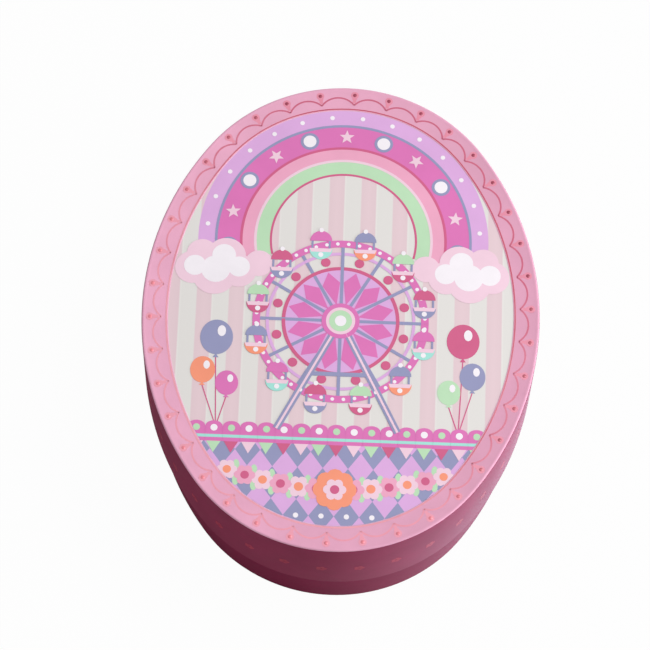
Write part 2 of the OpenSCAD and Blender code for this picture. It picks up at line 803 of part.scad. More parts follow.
// Moulded roof: a shallow swept cone with a flat rim over the valance
module canopy_roof() {
    steps = [0:0.125:1];
    color("#e07bbd") rotate_extrude() polygon(concat(
        [for (t = steps) let (r = roof_r - roof_r * t) [r, roof_over(r)]],
        [for (t = steps) let (r = (roof_r - 1.4) * t) [r, roof_under(r)]],
        [[roof_r - 1.4, eaves_z], [roof_r, eaves_z]]));
}

module canopy_valance() {
    color("#9aa5d6") translate([0, 0, eaves_z - valance_h]) difference() {
        cylinder(r = roof_r, h = valance_h);
        translate([0, 0, -1]) cylinder(r = roof_r - 1, h = valance_h + 2);
        for (i = [0:scallops - 1]) rotate(i * 360 / scallops) translate([roof_r, 0, 0])
            rotate([0, 90, 0])
            cylinder(r = roof_r * sin(180 / scallops) * 0.62, h = 4, center = true, $fn = 32);
    }
}

module canopy_finial() {
    color("#bfe3c4") translate([0, 0, roof_over(0)]) {
        translate([0, 0, -0.05]) cylinder(r1 = finial_r + 1, r2 = finial_r * 0.7, h = 0.25 + finial_r * 0.3);
        translate([0, 0, finial_h - finial_r]) sphere(r = finial_r);
    }
}

module horse_poles() {
    color("#e6c87a") for (i = [0:horse_count - 1]) rotate(i * 360 / horse_count)
        translate([horse_ring_r, 0, table_top_z]) cylinder(r = pole_r, h = pole_len);
}

module limb(points, radii) {
    for (i = [0:len(points) - 2]) hull() {
        translate(points[i]) sphere(r = radii[i], $fn = 8);
        translate(points[i + 1]) sphere(r = radii[i + 1], $fn = 8);
    }
}

module horse(i) {
    lift = horse_size * (i % 2 == 0 ? 7.4 : 8.8);
    color("#efe6ea") rotate(i * 360 / horse_count) translate([horse_ring_r, 0, table_top_z + lift])
        rotate(90) difference() {
            scale(horse_size) {
                limb([[-3.8, 0, 0], [3.6, 0, 0.2]], [2.4, 2.4]);
                limb([[3.8, 0, 1], [6.2, 0, 5.2], [9.4, 0, 3.2]], [2, 1.3, 0.8]);
                for (s = [-1, 1]) {
                    limb([[3.6, s * 1.2, -1], [6.0, s * 1.2, -2.8], [4.6, s * 1.2, -5.4]], [1.1, 0.8, 0.7]);
                    limb([[-3.8, s * 1.2, -1], [-6.4, s * 1.2, -3], [-7, s * 1.2, -6]], [1.3, 0.8, 0.7]);
                }
                limb([[-5.6, 0, 1], [-8.4, 0, -2.4]], [0.8, 0.9]);
            }
            cylinder(r = pole_r + 0.04, h = 2 * pole_len, center = true, $fn = 24);
        }
}

lid_top_board();
lid_border_frame();
picture_panel();
lid_skirt();
lid_inner_band();
lid_lining();
base_wall();
base_floor();
deck_ledge();
deck();
trinket_pad(-1);  // trinket_pad_front
trinket_pad(1);  // trinket_pad_back
shaft_bush();
key_well();
movement_standoffs();
bedplate();
movement_screws();
cylinder_bracket();
music_comb();
comb_screws();
governor_frame();
clutch_spring();
winding_key();
winding_arbor();
spring_barrel();
barrel_cover();
mainspring();
output_shaft();
music_cylinder();
cylinder_arbor();
cylinder_pinion();
cylinder_wheel();
governor_arbor();
governor_pinion();
worm_wheel();
worm_shaft();
worm();
air_brake();
stop_lever();
stop_knob();
lever_post();
turntable();
centre_column();
canopy_roof();
canopy_valance();
canopy_finial();
horse_poles();
horse(0);  // horse_1
horse(1);  // horse_2
horse(2);  // horse_3
horse(3);  // horse_4
horse(4);  // horse_5
horse(5);  // horse_6
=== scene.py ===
"""Oval keepsake box: a lift-off lid, a wind-up movement under a velvet deck, and a small carousel."""
import math

import bmesh
import bpy
from mathutils import Matrix, Vector


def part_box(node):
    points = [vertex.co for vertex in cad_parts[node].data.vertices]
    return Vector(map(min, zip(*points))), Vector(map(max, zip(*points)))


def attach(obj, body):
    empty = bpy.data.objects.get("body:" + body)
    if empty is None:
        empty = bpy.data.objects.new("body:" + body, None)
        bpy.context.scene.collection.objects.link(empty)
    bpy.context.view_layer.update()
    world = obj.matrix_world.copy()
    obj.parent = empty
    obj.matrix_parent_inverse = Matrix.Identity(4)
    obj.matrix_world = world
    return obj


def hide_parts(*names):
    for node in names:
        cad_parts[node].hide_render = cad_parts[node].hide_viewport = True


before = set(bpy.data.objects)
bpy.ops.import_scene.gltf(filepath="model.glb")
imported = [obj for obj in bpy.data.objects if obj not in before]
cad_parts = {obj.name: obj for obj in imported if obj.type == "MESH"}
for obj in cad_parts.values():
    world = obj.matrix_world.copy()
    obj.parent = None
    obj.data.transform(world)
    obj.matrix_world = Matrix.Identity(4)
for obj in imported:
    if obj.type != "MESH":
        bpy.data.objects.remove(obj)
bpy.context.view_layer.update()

# ---- Base wall ----
# The shallow tray that holds everything: grey board bent round the oval, butted at
# the back and wrapped in rose paper that turns in over the rim and underneath. The paper
# is printed a little darker than the lid's skirt paper, a painted shade for the strip under the skirt.
HALF_W, HALF_L, HEIGHT = 0.090, 0.114, 0.072
BASE_IN, BASE_T, BASE_TOP = 0.0036, 0.0030, 0.042
FOOT_R, FOLD_R = 0.0008, 0.0004

# Four arcs make the oval, and meet on lines that rise 3 for each 4 across.
STEP = (HALF_L - HALF_W) / 2
END_R, END_C = HALF_W - STEP, 3 * STEP
SIDE_R, SIDE_C = HALF_W + 4 * STEP, 4 * STEP
LEAN = math.atan2(3, 4)


def ink(red, green, blue):
    """A printed or dyed shade, given as it looks on a screen, in the shader's linear values."""
    return tuple(((c / 255 + 0.055) / 1.055) ** 2.4 if c > 10 else c / 3295 for c in (red, green, blue))


def shade(colour, share):
    """The same colour made darker or lighter."""
    return tuple(min(c * share, 1.0) for c in colour)


def facing_out(bm):
    """Turns the front of every face outward."""
    bmesh.ops.recalc_face_normals(bm, faces=bm.faces)


def sweep_round(bm, section, closed=True, steps=44):
    """Sweeps a section of (inset, height) round the four arcs of the oval."""
    across, along = math.cos(LEAN), -math.sin(LEAN)
    start = [Vector(((SIDE_R - i) * across - SIDE_C, (SIDE_R - i) * along, z)) for i, z in section]
    verts = [bm.verts.new(place) for place in start]
    pairs = list(zip(verts, verts[1:])) + ([(verts[-1], verts[0])] if closed else [])
    geom = verts + [bm.edges.new(pair) for pair in pairs]
    for centre, angle in (((-SIDE_C, 0, 0), 2 * LEAN), ((0, END_C, 0), math.pi - 2 * LEAN),
                          ((SIDE_C, 0, 0), 2 * LEAN), ((0, -END_C, 0), math.pi - 2 * LEAN)):
        geom = bmesh.ops.spin(bm, geom=geom, cent=centre, axis=(0, 0, 1), angle=angle, steps=steps,
                              use_merge=False)["geom_last"]
    bmesh.ops.remove_doubles(bm, verts=bm.verts, dist=1e-6)
    facing_out(bm)


def corner(inset, z, r, start, end, steps=5):
    """Points of a rounded corner of a section, with its centre at (inset, z)."""
    turns = [math.radians(start + (end - start) * k / steps) for k in range(steps + 1)]
    return [(inset - r * math.cos(t), z + r * math.sin(t)) for t in turns]


def swept(bm, corners, centre, angle, steps, colour=0):
    """A solid band: a section with these corners, swept about an upright axis."""
    face = bm.faces.new([bm.verts.new(place) for place in corners])
    face.material_index = colour
    bmesh.ops.spin(bm, geom=[face, *face.edges, *face.verts], cent=centre, axis=(0, 0, 1),
                   angle=angle, steps=steps)


def mesh_of(bm, name):
    """The finished mesh."""
    mesh = bpy.data.meshes.new(name)
    bm.to_mesh(mesh)
    bm.free()
    return mesh


def placed(name, data):
    """Puts a mesh, a lamp or the camera into the scene."""
    thing = bpy.data.objects.new(name, data)
    bpy.context.scene.collection.objects.link(thing)
    return thing


def finished(name, bm, body, slot, *materials, smooth=True, replaces=()):
    """Makes the mesh an object at the origin, riding on its body."""
    mesh = mesh_of(bm, name)
    mesh.polygons.foreach_set("use_smooth", [smooth] * len(mesh.polygons))
    if smooth:
        mesh.set_sharp_from_angle(angle=math.radians(35))
    for material in materials:
        mesh.materials.append(material)
    piece = placed(name, mesh)
    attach(piece, body)
    if replaces:
        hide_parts(*replaces)
    return piece


def material(name, colour, roughness, metallic=0.0, coat=0.0, coat_roughness=0.1, specular=0.5, sheen=0.0):
    """A material with its plain values on the shader's own sockets."""
    m = bpy.data.materials.new(name)
    m.use_nodes = True
    shader = m.node_tree.nodes["Principled BSDF"]
    for socket, value in (("Base Color", (*colour, 1)), ("Roughness", roughness), ("Metallic", metallic),
                          ("Coat Weight", coat), ("Coat Roughness", coat_roughness),
                          ("Specular IOR Level", specular), ("Sheen Weight", sheen)):
        shader.inputs[socket].default_value = value
    return m, m.node_tree, shader


def add_node(tree, kind, settings, operation=None):
    """A node of a material. A setting is an input's plain value, or the output that feeds it."""
    made = tree.nodes.new("ShaderNode" + kind)
    if operation:
        made.operation = operation
    for name, value in settings.items():
        if isinstance(value, bpy.types.NodeSocket):
            tree.links.new(value, made.inputs[name])
        else:
            made.inputs[name].default_value = value
    return made


def on_piece(tree):
    """The piece's own coordinates."""
    return add_node(tree, "TexCoord", {}).outputs["Object"]


def noise_on(tree, scale, detail=6.0, stretch=(1, 1, 1), rough=0.5):
    """Noise on the piece's own coordinates, drawn out along an axis where asked."""
    drawn_out = add_node(tree, "Mapping", {"Vector": on_piece(tree), "Scale": stretch}).outputs["Vector"]
    return add_node(tree, "TexNoise", {"Vector": drawn_out, "Scale": scale, "Detail": detail,
                                       "Roughness": rough}).outputs["Fac"]


def ramp_of(tree, source, stops):
    """Colours spread over a value, from their (position, colour) stops."""
    ramp = add_node(tree, "ValToRGB", {"Fac": source})
    marks = ramp.color_ramp.elements
    while len(marks) < len(stops):
        marks.new(0.5)
    for mark, (position, colour) in zip(marks, stops):
        mark.position = position
        mark.color = (*colour, 1)
    return ramp.outputs["Color"]


def tinted(tree, shader, source, stops):
    """Gives the surface its colour from a ramp."""
    tree.links.new(ramp_of(tree, source, stops), shader.inputs["Base Color"])


def relief(tree, shader, height, depth):
    """Fine relief in the surface from a height, that many metres deep, over what relief it has."""
    bump = add_node(tree, "Bump", {"Height": height, "Strength": 1.0, "Distance": depth})
    earlier = shader.inputs["Normal"].links
    if earlier:
        tree.links.new(earlier[0].from_socket, bump.inputs["Normal"])
    tree.links.new(bump.outputs["Normal"], shader.inputs["Normal"])


def printed_paper(name, colour, drift=0.05, roughness=0.5, coat=0.0, specular=0.3, tooth=0.00002):
    """Matt art paper: ink that drifts a little in shade, paper tooth, and a soft sheen."""
    m, tree, shader = material(name, colour, roughness, coat=coat, coat_roughness=0.3, specular=specular)
    tinted(tree, shader, noise_on(tree, 45, 9.0, rough=0.62),
           [(0.32, shade(colour, 1 - drift)), (0.68, shade(colour, 1 + drift))])
    relief(tree, shader, noise_on(tree, 1100, 4.0), tooth)
    return m


# Darker than the skirt's paper: a painted shade for the strip that lies in the shadow of the lid's skirt.
base_print = printed_paper("base print", ink(130, 35, 70), 0.08, roughness=0.55, specular=0.05)
bm = bmesh.new()
sweep_round(bm, corner(BASE_IN + FOOT_R, FOOT_R, FOOT_R, -90, 0)
            + corner(BASE_IN + FOLD_R, BASE_TOP - FOLD_R, FOLD_R, 0, 90)
            + corner(BASE_IN + BASE_T - FOLD_R, BASE_TOP - FOLD_R, FOLD_R, 90, 180)
            + [(BASE_IN + BASE_T, 0.0)])
finished("base_wrap", bm, "base", "print_rose", base_print, replaces=["base_wall"])

LAP_W, LAP_T = 0.0070, 0.00005


def overlap(name, body, inset, low, high, paper):
    """Where the wrapping paper's end laps over its start, at the middle of the back."""
    middle = Vector((0, END_C, 0))
    bm = bmesh.new()
    swept(bm, [middle + Vector((0, END_R - i, z))
               for i, z in ((inset - LAP_T, low), (inset + LAP_T, low), (inset + LAP_T, high),
                            (inset - LAP_T, high))], middle, LAP_W / END_R, 6)
    facing_out(bm)
    finished(name, bm, body, "print_rose", paper)


overlap("base_paper_lap", "base", BASE_IN, FOOT_R, BASE_TOP - 0.0005, base_print)

# ---- Floor and ledge ----
# A floor board covered underneath in dark flock paper, with a hole for the key's
# recess, and a band of board glued round inside the wall to carry the deck.


def dress(nodes, material):
    """Gives carried-over CAD nodes their material."""
    for node in nodes:
        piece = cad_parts[node]
        if not piece.material_slots:
            piece.data.materials.append(material)
        for slot in piece.material_slots:
            slot.material = material


def flock(name, low, high, depth=0.00010, sheen=0.6):
    """Short pile on paper or cloth: drifting shade, speckled pile and a sheen at the edges."""
    m, tree, shader = material(name, low, 0.9, specular=0.15, sheen=sheen)
    shader.inputs["Sheen Roughness"].default_value = 0.4
    drift = ramp_of(tree, noise_on(tree, 48, 6.0, rough=0.6), [(0.3, low), (0.7, high)])
    pile = noise_on(tree, 2400, 2.0, rough=0.7)
    speckle = ramp_of(tree, pile, [(0.34, (0.78, 0.78, 0.78)), (0.66, (1.0, 1.0, 1.0))])
    speckled = add_node(tree, "VectorMath", {0: drift, 1: speckle}, "MULTIPLY")
    tree.links.new(speckled.outputs["Vector"], shader.inputs["Base Color"])
    relief(tree, shader, pile, depth)
    relief(tree, shader, noise_on(tree, 160, 4.0), depth * 1.2)
    return m


dress(["base_floor"], flock("floor flock", ink(92, 40, 60), ink(108, 52, 74), 0.00006, 0.3))
dress(["deck_ledge"], printed_paper("ledge paper", ink(118, 58, 80), 0.06))

# ---- Key recess ----
# A cup moulded in dark plastic, let up into the floor so that the key lies inside the
# box's foot. Four screws through its roof hold the movement's bedplate.


def moulding(name, colour, roughness=0.38, tooth=0.00001, coat=0.0, drift=0.04, scale=300):
    """Moulded plastic: even colour, a slight orange-peel surface and a soft gloss."""
    m, tree, shader = material(name, colour, roughness, coat=coat, coat_roughness=0.12)
    tinted(tree, shader, noise_on(tree, 90, 5.0),
           [(0.3, shade(colour, 1 - drift)), (0.7, shade(colour, 1 + drift))])
    relief(tree, shader, noise_on(tree, scale, 2.0), tooth)
    return m


dress(["key_well"], moulding("recess moulding", ink(74, 56, 68), 0.5, 0.00003, scale=900))

# ---- Movement ----
# An eighteen-note movement on a cast zinc bedplate: a spring barrel with crown teeth,
# a pinned brass cylinder, a tuned steel comb, and a worm-driven fly that holds the speed.


def metal(name, colour, roughness, scratch=0.00001, stretch=(1, 1, 1), scale=500, tarnish=0.10, tint=None):
    """Bare or plated metal with tool marks and a little tarnish."""
    m, tree, shader = material(name, colour, roughness, metallic=1.0)
    cloud = noise_on(tree, 120, 7.0, rough=0.6)
    tinted(tree, shader, cloud, [(0.36, shade(tint or colour, 1 - 2 * tarnish)), (0.62, colour)])
    spread = add_node(tree, "MapRange", {"Value": cloud, "To Min": roughness * 1.5,
                                         "To Max": roughness * 0.7})
    tree.links.new(spread.outputs["Result"], shader.inputs["Roughness"])
    relief(tree, shader, noise_on(tree, scale, 4.0, stretch), scratch)
    return m


# Tool marks run across the axis that has the large number.
cast_zinc = metal("cast zinc", ink(196, 194, 190), 0.42, 0.00006, scale=420, tarnish=0.08)
turned_brass = metal("turned brass", ink(224, 190, 112), 0.24, stretch=(1, 1, 14), tint=ink(190, 140, 72))
pinned_brass = metal("pinned brass", ink(228, 196, 120), 0.2, 0.000008, (1, 30, 1), tint=ink(200, 150, 80))
comb_steel = metal("comb steel", ink(214, 216, 220), 0.18, 0.000008, (20, 1, 1))
polished_steel = metal("polished steel", ink(206, 208, 212), 0.22, stretch=(1, 12, 1))
blued_spring = metal("blued spring", ink(74, 92, 128), 0.25, tint=ink(92, 74, 96))
plated_screw = metal("plated screw", ink(186, 184, 178), 0.3, tarnish=0.05)
nylon = moulding("natural nylon", ink(232, 228, 214), 0.42)
dress(["movement_standoffs", "bedplate", "cylinder_bracket", "governor_frame"], cast_zinc)
dress(["spring_barrel", "barrel_cover", "cylinder_pinion", "cylinder_wheel", "governor_pinion",
       "shaft_bush"], turned_brass)
dress(["music_cylinder"], pinned_brass)
dress(["music_comb"], comb_steel)
dress(["winding_arbor", "output_shaft", "cylinder_arbor", "governor_arbor", "worm_shaft", "worm",
       "lever_post", "stop_lever"], polished_steel)
dress(["clutch_spring", "mainspring"], blued_spring)
dress(["movement_screws", "comb_screws"], plated_screw)
dress(["worm_wheel", "air_brake"], nylon)

# ---- Winding key ----
# A brass key with a flat bow, cast, tumbled smooth and polished, on the square of the
# winding arbor.


def softened(node, name, body, slot, width, material, segments=2):
    """A CAD node's shape with its sharp edges rounded over, standing in for it."""
    bm = bmesh.new()
    bm.from_mesh(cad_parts[node].data)
    bmesh.ops.remove_doubles(bm, verts=bm.verts, dist=1e-6)
    bmesh.ops.dissolve_limit(bm, angle_limit=math.radians(1.0), verts=bm.verts, edges=bm.edges)
    sharp = [e for e in bm.edges if len(e.link_faces) == 2 and e.calc_face_angle(0) > math.radians(38)]
    bmesh.ops.bevel(bm, geom=sharp, offset=width, offset_type="OFFSET", segments=segments, profile=0.5,
                    affect="EDGES", clamp_overlap=True, material=-1)
    finished(name, bm, body, slot, material, replaces=[node])


key_brass = metal("key brass", ink(226, 196, 124), 0.2, scale=300, tarnish=0.12, tint=ink(190, 146, 80))
softened("winding_key", "key", "winder", "key_brass", 0.00035, key_brass)

# ---- Deck ----
# The inner tray, thermoformed and flocked in one piece: a flat deck with two
# crescent wells for trinkets, every edge rounded by the forming and the pile.
deck_velvet = flock("deck velvet", ink(148, 84, 132), ink(172, 104, 154), 0.00012, 0.8)
softened("deck", "velvet_deck", "base", "velvet", 0.0006, deck_velvet, 3)

# ---- Trinket pads ----
# Crescent cushions in the wells: wadding in a velvet cover, sewn through in channels.
# Each is blown up by a cloth simulation, 25 times its size so that the cloth behaves.
MM = 0.001
PAD_GROW, PAD_VOXEL, PAD_CAP = 25.0, 0.0013, 0.0012
PAD_BLANK = (0.99, 0.985, 0.62)
PRESSURE, PAD_FRAMES = 4.0, 20
CHANNEL_PITCH, CHANNEL_W, CHANNEL_DEEP, CROWN = 16.0, 0.20, 0.44, 0.18
pad_velvet = flock("pad velvet", ink(178, 122, 176), ink(200, 146, 196), 0.00010, 0.8)


def evaluated(piece):
    """The piece as its modifiers leave it."""
    return piece.evaluated_get(bpy.context.evaluated_depsgraph_get())


def remeshed(bm, name, voxel, smoothing=0):
    """Joins overlapping forms into one even skin, in an object of its own."""
    form = placed(name, mesh_of(bm, name))
    skin = form.modifiers.new("skin", "REMESH")
    skin.mode = "VOXEL"
    skin.voxel_size = voxel
    if smoothing:
        ease = form.modifiers.new("ease", "SMOOTH")
        ease.factor, ease.iterations = 0.5, smoothing
    mesh = bpy.data.meshes.new_from_object(evaluated(form))
    form.modifiers.clear()
    form.data = mesh
    return form


def blown_up(pad):
    """Where the cover's points lie once the wadding presses it out."""
    cloth = pad.modifiers.new("cloth", "CLOTH")
    cloth.settings.use_pressure = True
    cloth.settings.uniform_pressure_force = PRESSURE
    cloth.settings.effector_weights.gravity = 0.0
    cloth.settings.quality = 4
    for moment in range(1, PAD_FRAMES + 1):
        bpy.context.scene.frame_set(moment)
    points = [v.co.copy() for v in evaluated(pad).to_mesh().vertices]
    evaluated(pad).to_mesh_clear()
    pad.modifiers.clear()
    bpy.context.scene.frame_set(1)
    return points


for word in ("front", "back"):
    low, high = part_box("trinket_pad_" + word)
    bm = bmesh.new()
    bm.from_mesh(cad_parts["trinket_pad_" + word].data)
    bmesh.ops.remove_doubles(bm, verts=bm.verts, dist=1e-6)
    middle = Vector(((low[0] + high[0]) / 2, (low[1] + high[1]) / 2, low[2]))
    bmesh.ops.translate(bm, vec=-middle, verts=bm.verts)
    bmesh.ops.scale(bm, vec=[PAD_GROW * share for share in PAD_BLANK], verts=bm.verts)
    blank = remeshed(bm, "pad blank", PAD_VOXEL * PAD_GROW)
    at_rest = [v.co.copy() for v in blank.data.vertices]
    moved = blown_up(blank)
    cap, top = PAD_CAP * PAD_GROW, (high[2] - low[2]) * PAD_GROW
    for v, rest, new in zip(blank.data.vertices, at_rest, moved):
        step = new - rest
        if step.length > cap:
            step = step * (cap / step.length)
        place = rest + step
        crown = max(0.0, min(1.0, rest.z / (0.6 * top)))
        along = abs((place.x / PAD_GROW / MM + 200) % CHANNEL_PITCH - CHANNEL_PITCH / 2) * 2 / CHANNEL_PITCH
        sewn = CHANNEL_DEEP * math.exp(-((1 - along) / CHANNEL_W) ** 2)
        place.z = place.z + crown * top * (CROWN - sewn)
        v.co = Vector((place.x, place.y, min(max(place.z, 0.0), top)))
    bm = bmesh.new()
    bm.from_mesh(blank.data)
    bpy.data.objects.remove(blank)
    bmesh.ops.smooth_vert(bm, verts=bm.verts, factor=0.5, use_axis_x=True, use_axis_y=True, use_axis_z=True)
    bmesh.ops.scale(bm, vec=(1 / PAD_GROW,) * 3, verts=bm.verts)
    bmesh.ops.translate(bm, vec=middle, verts=bm.verts)
    for v in bm.verts:
        v.co = [min(max(v.co[i], low[i]), high[i]) for i in range(3)]
    pad = finished("pad_" + word, bm, "base", "velvet", pad_velvet, replaces=["trinket_pad_" + word])
    rounding = pad.modifiers.new("rounding", "SUBSURF")
    rounding.levels = rounding.render_levels = 1

# ---- Stop knob ----
# A small turned button of pink plastic, pressed on the stem of the stop lever where it
# comes up through its slot in the deck.


def spun(bm, profile, centre, steps):
    """Adds a closed profile of (radius, height) in millimetres, turned about an upright axis."""
    cx, cy, cz = centre
    verts = [bm.verts.new((cx + r * MM, cy, cz + z * MM)) for r, z in profile]
    on_axis = profile[0][0] == 0 and profile[-1][0] == 0
    pairs = list(zip(verts, verts[1:])) + ([] if on_axis else [(verts[-1], verts[0])])
    geom = verts + [bm.edges.new(pair) for pair in pairs]
    bmesh.ops.spin(bm, geom=geom, cent=centre, axis=(0, 0, 1), angle=math.tau, steps=steps, use_merge=True)
    near = [v for v in bm.verts if v.is_valid and math.hypot(v.co.x - cx, v.co.y - cy) < 1e-7]
    bmesh.ops.remove_doubles(bm, verts=near, dist=1e-6)
    facing_out(bm)


def turned(name, profile, centre, steps, body, slot, material, replaces, cut=None):
    """A piece turned on a lathe, with any cuts made in it afterwards."""
    bm = bmesh.new()
    spun(bm, profile, centre, steps)
    if cut:
        cut(bm)
    finished(name, bm, body, slot, material, replaces=[replaces])


gloss_pink = moulding("knob plastic", ink(232, 170, 198), 0.22, 0.000004, coat=0.5)
low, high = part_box("stop_knob")
knob_at = ((low[0] + high[0]) / 2, (low[1] + high[1]) / 2, low[2])
turned("knob", [(0, 0), (2.9, 0), (3.15, 0.2), (3.2, 0.5), (3.0, 0.85), (2.6, 1.05), (2.65, 1.25),
                (2.75, 1.5), (2.5, 1.85), (1.9, 2.08), (1.0, 2.18), (0, 2.2)],
       knob_at, 40, "stop", "knob_pink", gloss_pink, "stop_knob")

# ---- Turntable ----
# A round platform moulded in magenta plastic, pressed on the output shaft. Boards are
# scored in its top, and gilt beads are glued in the cove round its edge.
low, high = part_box("turntable")
TABLE_Z, TABLE_TOP, TABLE_R = low[2], high[2], high[0] / MM
SHAFT_R, BOARDS, BOARD_GAP, EDGE_BEADS = 2.02, 24, 0.012, 96


def turns(count, start=0.0):
    """Angles spread evenly over a full turn."""
    return [math.tau * (k + start) / count for k in range(count)]


def arm(turn, r=1.0, z=0.0):
    """The place that far out at this angle, or the direction of it."""
    return Vector((r * math.cos(turn), r * math.sin(turn), z))


table_plastic = moulding("table plastic", ink(204, 84, 152), 0.28, 0.000006, coat=0.4)
edge = [(TABLE_R - inset, z) for inset, z in (
    (0.6, 0), (0.15, 0.12), (0, 0.4), (0, 0.75), (0.5, 0.95), (0.9, 1.2), (0.9, 1.5), (0.6, 1.72),
    (1.2, 1.86), (3.2, 1.9), (3.2, 2.1), (3.4, 2.55), (3.7, 2.75))]
turned("platform", [(SHAFT_R, 0)] + edge + [(SHAFT_R, 2.75)], (0, 0, TABLE_Z), 120, "carousel",
       "table_magenta", table_plastic, "turntable")

board_inks = [moulding("board rose", ink(214, 110, 170), 0.3, 0.000008, coat=0.3),
              moulding("board lilac", ink(214, 168, 222), 0.3, 0.000008, coat=0.3)]
bm = bmesh.new()
for board, turn in enumerate(turns(BOARDS)):
    swept(bm, [arm(turn, r * MM, TABLE_Z + z * MM)
               for r, z in ((12.4, 2.7), (TABLE_R - 4.3, 2.7), (TABLE_R - 4.3, 2.94), (TABLE_R - 4.4, 3.0),
                            (12.5, 3.0), (12.4, 2.94))],
          (0, 0, 0), math.tau / BOARDS - BOARD_GAP, 6, board % 2)
facing_out(bm)
finished("platform_boards", bm, "carousel", "table_magenta", *board_inks)

gilt = metal("gilt", ink(232, 196, 116), 0.26, 0.000006, tint=ink(196, 150, 84))
bm = bmesh.new()
for turn in turns(EDGE_BEADS):
    at = arm(turn, (TABLE_R - 0.62) * MM, TABLE_Z + 1.32 * MM)
    bmesh.ops.create_icosphere(bm, subdivisions=1, radius=0.42 * MM, matrix=Matrix.Translation(at))
finished("platform_beads", bm, "carousel", "pole_gold", gilt)

# ---- Centre column ----
# A hollow fluted column of lilac plastic with gilt rings, glued to the platform and
# carrying the canopy. Eight enamel studs in gilt settings are spaced round its waist.
low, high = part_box("centre_column")
COLUMN_H = (high[2] - TABLE_TOP) / MM
FLUTES, FLUTE_DEEP, STUDS, STUD_UP = 16, 0.32, 8, 0.47
column_foot = (0, 0, TABLE_TOP)
lilac_plastic = moulding("column plastic", ink(214, 168, 226), 0.25, 0.000005, coat=0.5)


def fluted(bm):
    """Shallow flutes up the shaft of the column."""
    for v in bm.verts:
        up, r = (v.co.z - TABLE_TOP) / MM / COLUMN_H, math.hypot(v.co.x, v.co.y)
        if 0.17 < up < 0.75 and r > 8.5 * MM:
            dip = FLUTE_DEEP * MM * (0.5 - 0.5 * math.cos(FLUTES * math.atan2(v.co.y, v.co.x)))
            v.co.x *= (r - dip) / r
            v.co.y *= (r - dip) / r


def studded(bm, r, size, flat):
    """A ring of oval domes round the waist of the column."""
    waist = Matrix.Translation((r * MM, 0, TABLE_TOP + COLUMN_H * STUD_UP * MM))
    for turn in turns(STUDS, 0.5):
        at = (Matrix.Rotation(turn, 4, "Z") @ waist @ Matrix.Rotation(math.pi / 2, 4, "Y")
              @ Matrix.Diagonal((1.5, 1.0, flat, 1)))
        bmesh.ops.create_uvsphere(bm, u_segments=20, v_segments=10, radius=size * MM, matrix=at)


base_turning = [(7.8, 0), (12, 0), (12, 0.7), (11.8, 0.9), (11.2, 1.0), (10.8, 1.5), (9.9, 1.9), (9.7, 2.3),
                (9.2, 2.6), (9.0, 3.1)]
shaft = [(9.0, COLUMN_H * tenth / 10) for tenth in range(2, 8)]
capital = [(r, COLUMN_H * up) for r, up in ((9.0, 0.73), (9.4, 0.77), (9.7, 0.79), (9.7, 0.83), (9.4, 0.86),
                                            (9.0, 0.9))]
turned("column", base_turning + shaft + capital + [(9.0, COLUMN_H - 0.3), (8.8, COLUMN_H), (7.8, COLUMN_H)],
       column_foot, 96, "carousel", "column_lilac", lilac_plastic, "centre_column", fluted)

bm = bmesh.new()
for z, r, half in ((2.45, 9.5, 0.28), (COLUMN_H * 0.745, 9.25, 0.28), (COLUMN_H * 0.81, 9.72, 0.24)):
    spun(bm, [(r - 0.9, z - half), (r, z - half), (r + 0.22, z - half * 0.4), (r + 0.22, z + half * 0.4),
              (r, z + half), (r - 0.9, z + half)], column_foot, 72)
studded(bm, 8.85, 1.55, 0.45)
finished("column_rings", bm, "carousel", "pole_gold", gilt)

stud_enamel = moulding("stud enamel", ink(176, 226, 208), 0.12, 0.000002, coat=0.8)
bm = bmesh.new()
studded(bm, 9.1, 1.15, 0.55)
finished("column_studs", bm, "carousel", "finial_mint", stud_enamel)

# ---- Canopy ----
# A shallow tent roof moulded in one with twelve panels, lacquered by turns in pink and
# cream, with gilt ribs, a scalloped valance under its eaves and a small mint finial.
low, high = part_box("canopy_roof")
ROOF_R, EAVES_Z = high[0] / MM, low[2]
ROOF_EDGE, ROOF_T, PANELS, PANEL_SAG, TENT_CURVE = 0.8, 1.4, 12, 0.42, 1.4
ROOF_RISE = (high[2] - EAVES_Z) / MM - ROOF_EDGE
roof_inks = [moulding("roof pink", ink(222, 112, 180), 0.26, 0.000006, coat=0.5),
             moulding("roof cream", ink(240, 222, 224), 0.26, 0.000006, coat=0.5),
             moulding("roof lilac", ink(214, 168, 222), 0.3, 0.000006, coat=0.4)]


def roof_over(r):
    """Height of the roof's upper face over the eaves, millimetres."""
    return ROOF_EDGE + ROOF_RISE * max(0.0, 1 - r / ROOF_R) ** TENT_CURVE


def roof_under(r):
    """Height of the roof's lower face."""
    return max(0.0, roof_over(min(r * ROOF_R / (ROOF_R - ROOF_T), ROOF_R)) - ROOF_T)


eaves = (0, 0, EAVES_Z)
inside = [(ROOF_R - ROOF_T) * k / 10 for k in range(11)]
outside = [ROOF_R * k / 14 for k in range(14, -1, -1)]
bm = bmesh.new()
spun(bm, [(r, roof_under(r)) for r in inside] + [(ROOF_R - 0.2, 0), (ROOF_R, 0.15)]
     + [(r, roof_over(r)) for r in outside], eaves, 144)
for v in bm.verts:
    r, turn = math.hypot(v.co.x, v.co.y) / MM, math.atan2(v.co.y, v.co.x)
    if v.co.z > EAVES_Z + (roof_over(r) - 0.3) * MM and r < ROOF_R - 0.5:
        fade = min(1, r / 14) * min(1, (ROOF_R - r) / 8)
        v.co.z -= PANEL_SAG * MM * math.sin(turn * PANELS / 2) ** 2 * fade
for face in bm.faces:
    c = face.calc_center_median()
    panel = int((math.atan2(c.y, c.x) % math.tau) / math.tau * PANELS)
    face.material_index = panel % 2 if face.normal.z > 0.05 else 2
finished("canopy", bm, "carousel", "canopy_pink", *roof_inks, replaces=["canopy_roof"])

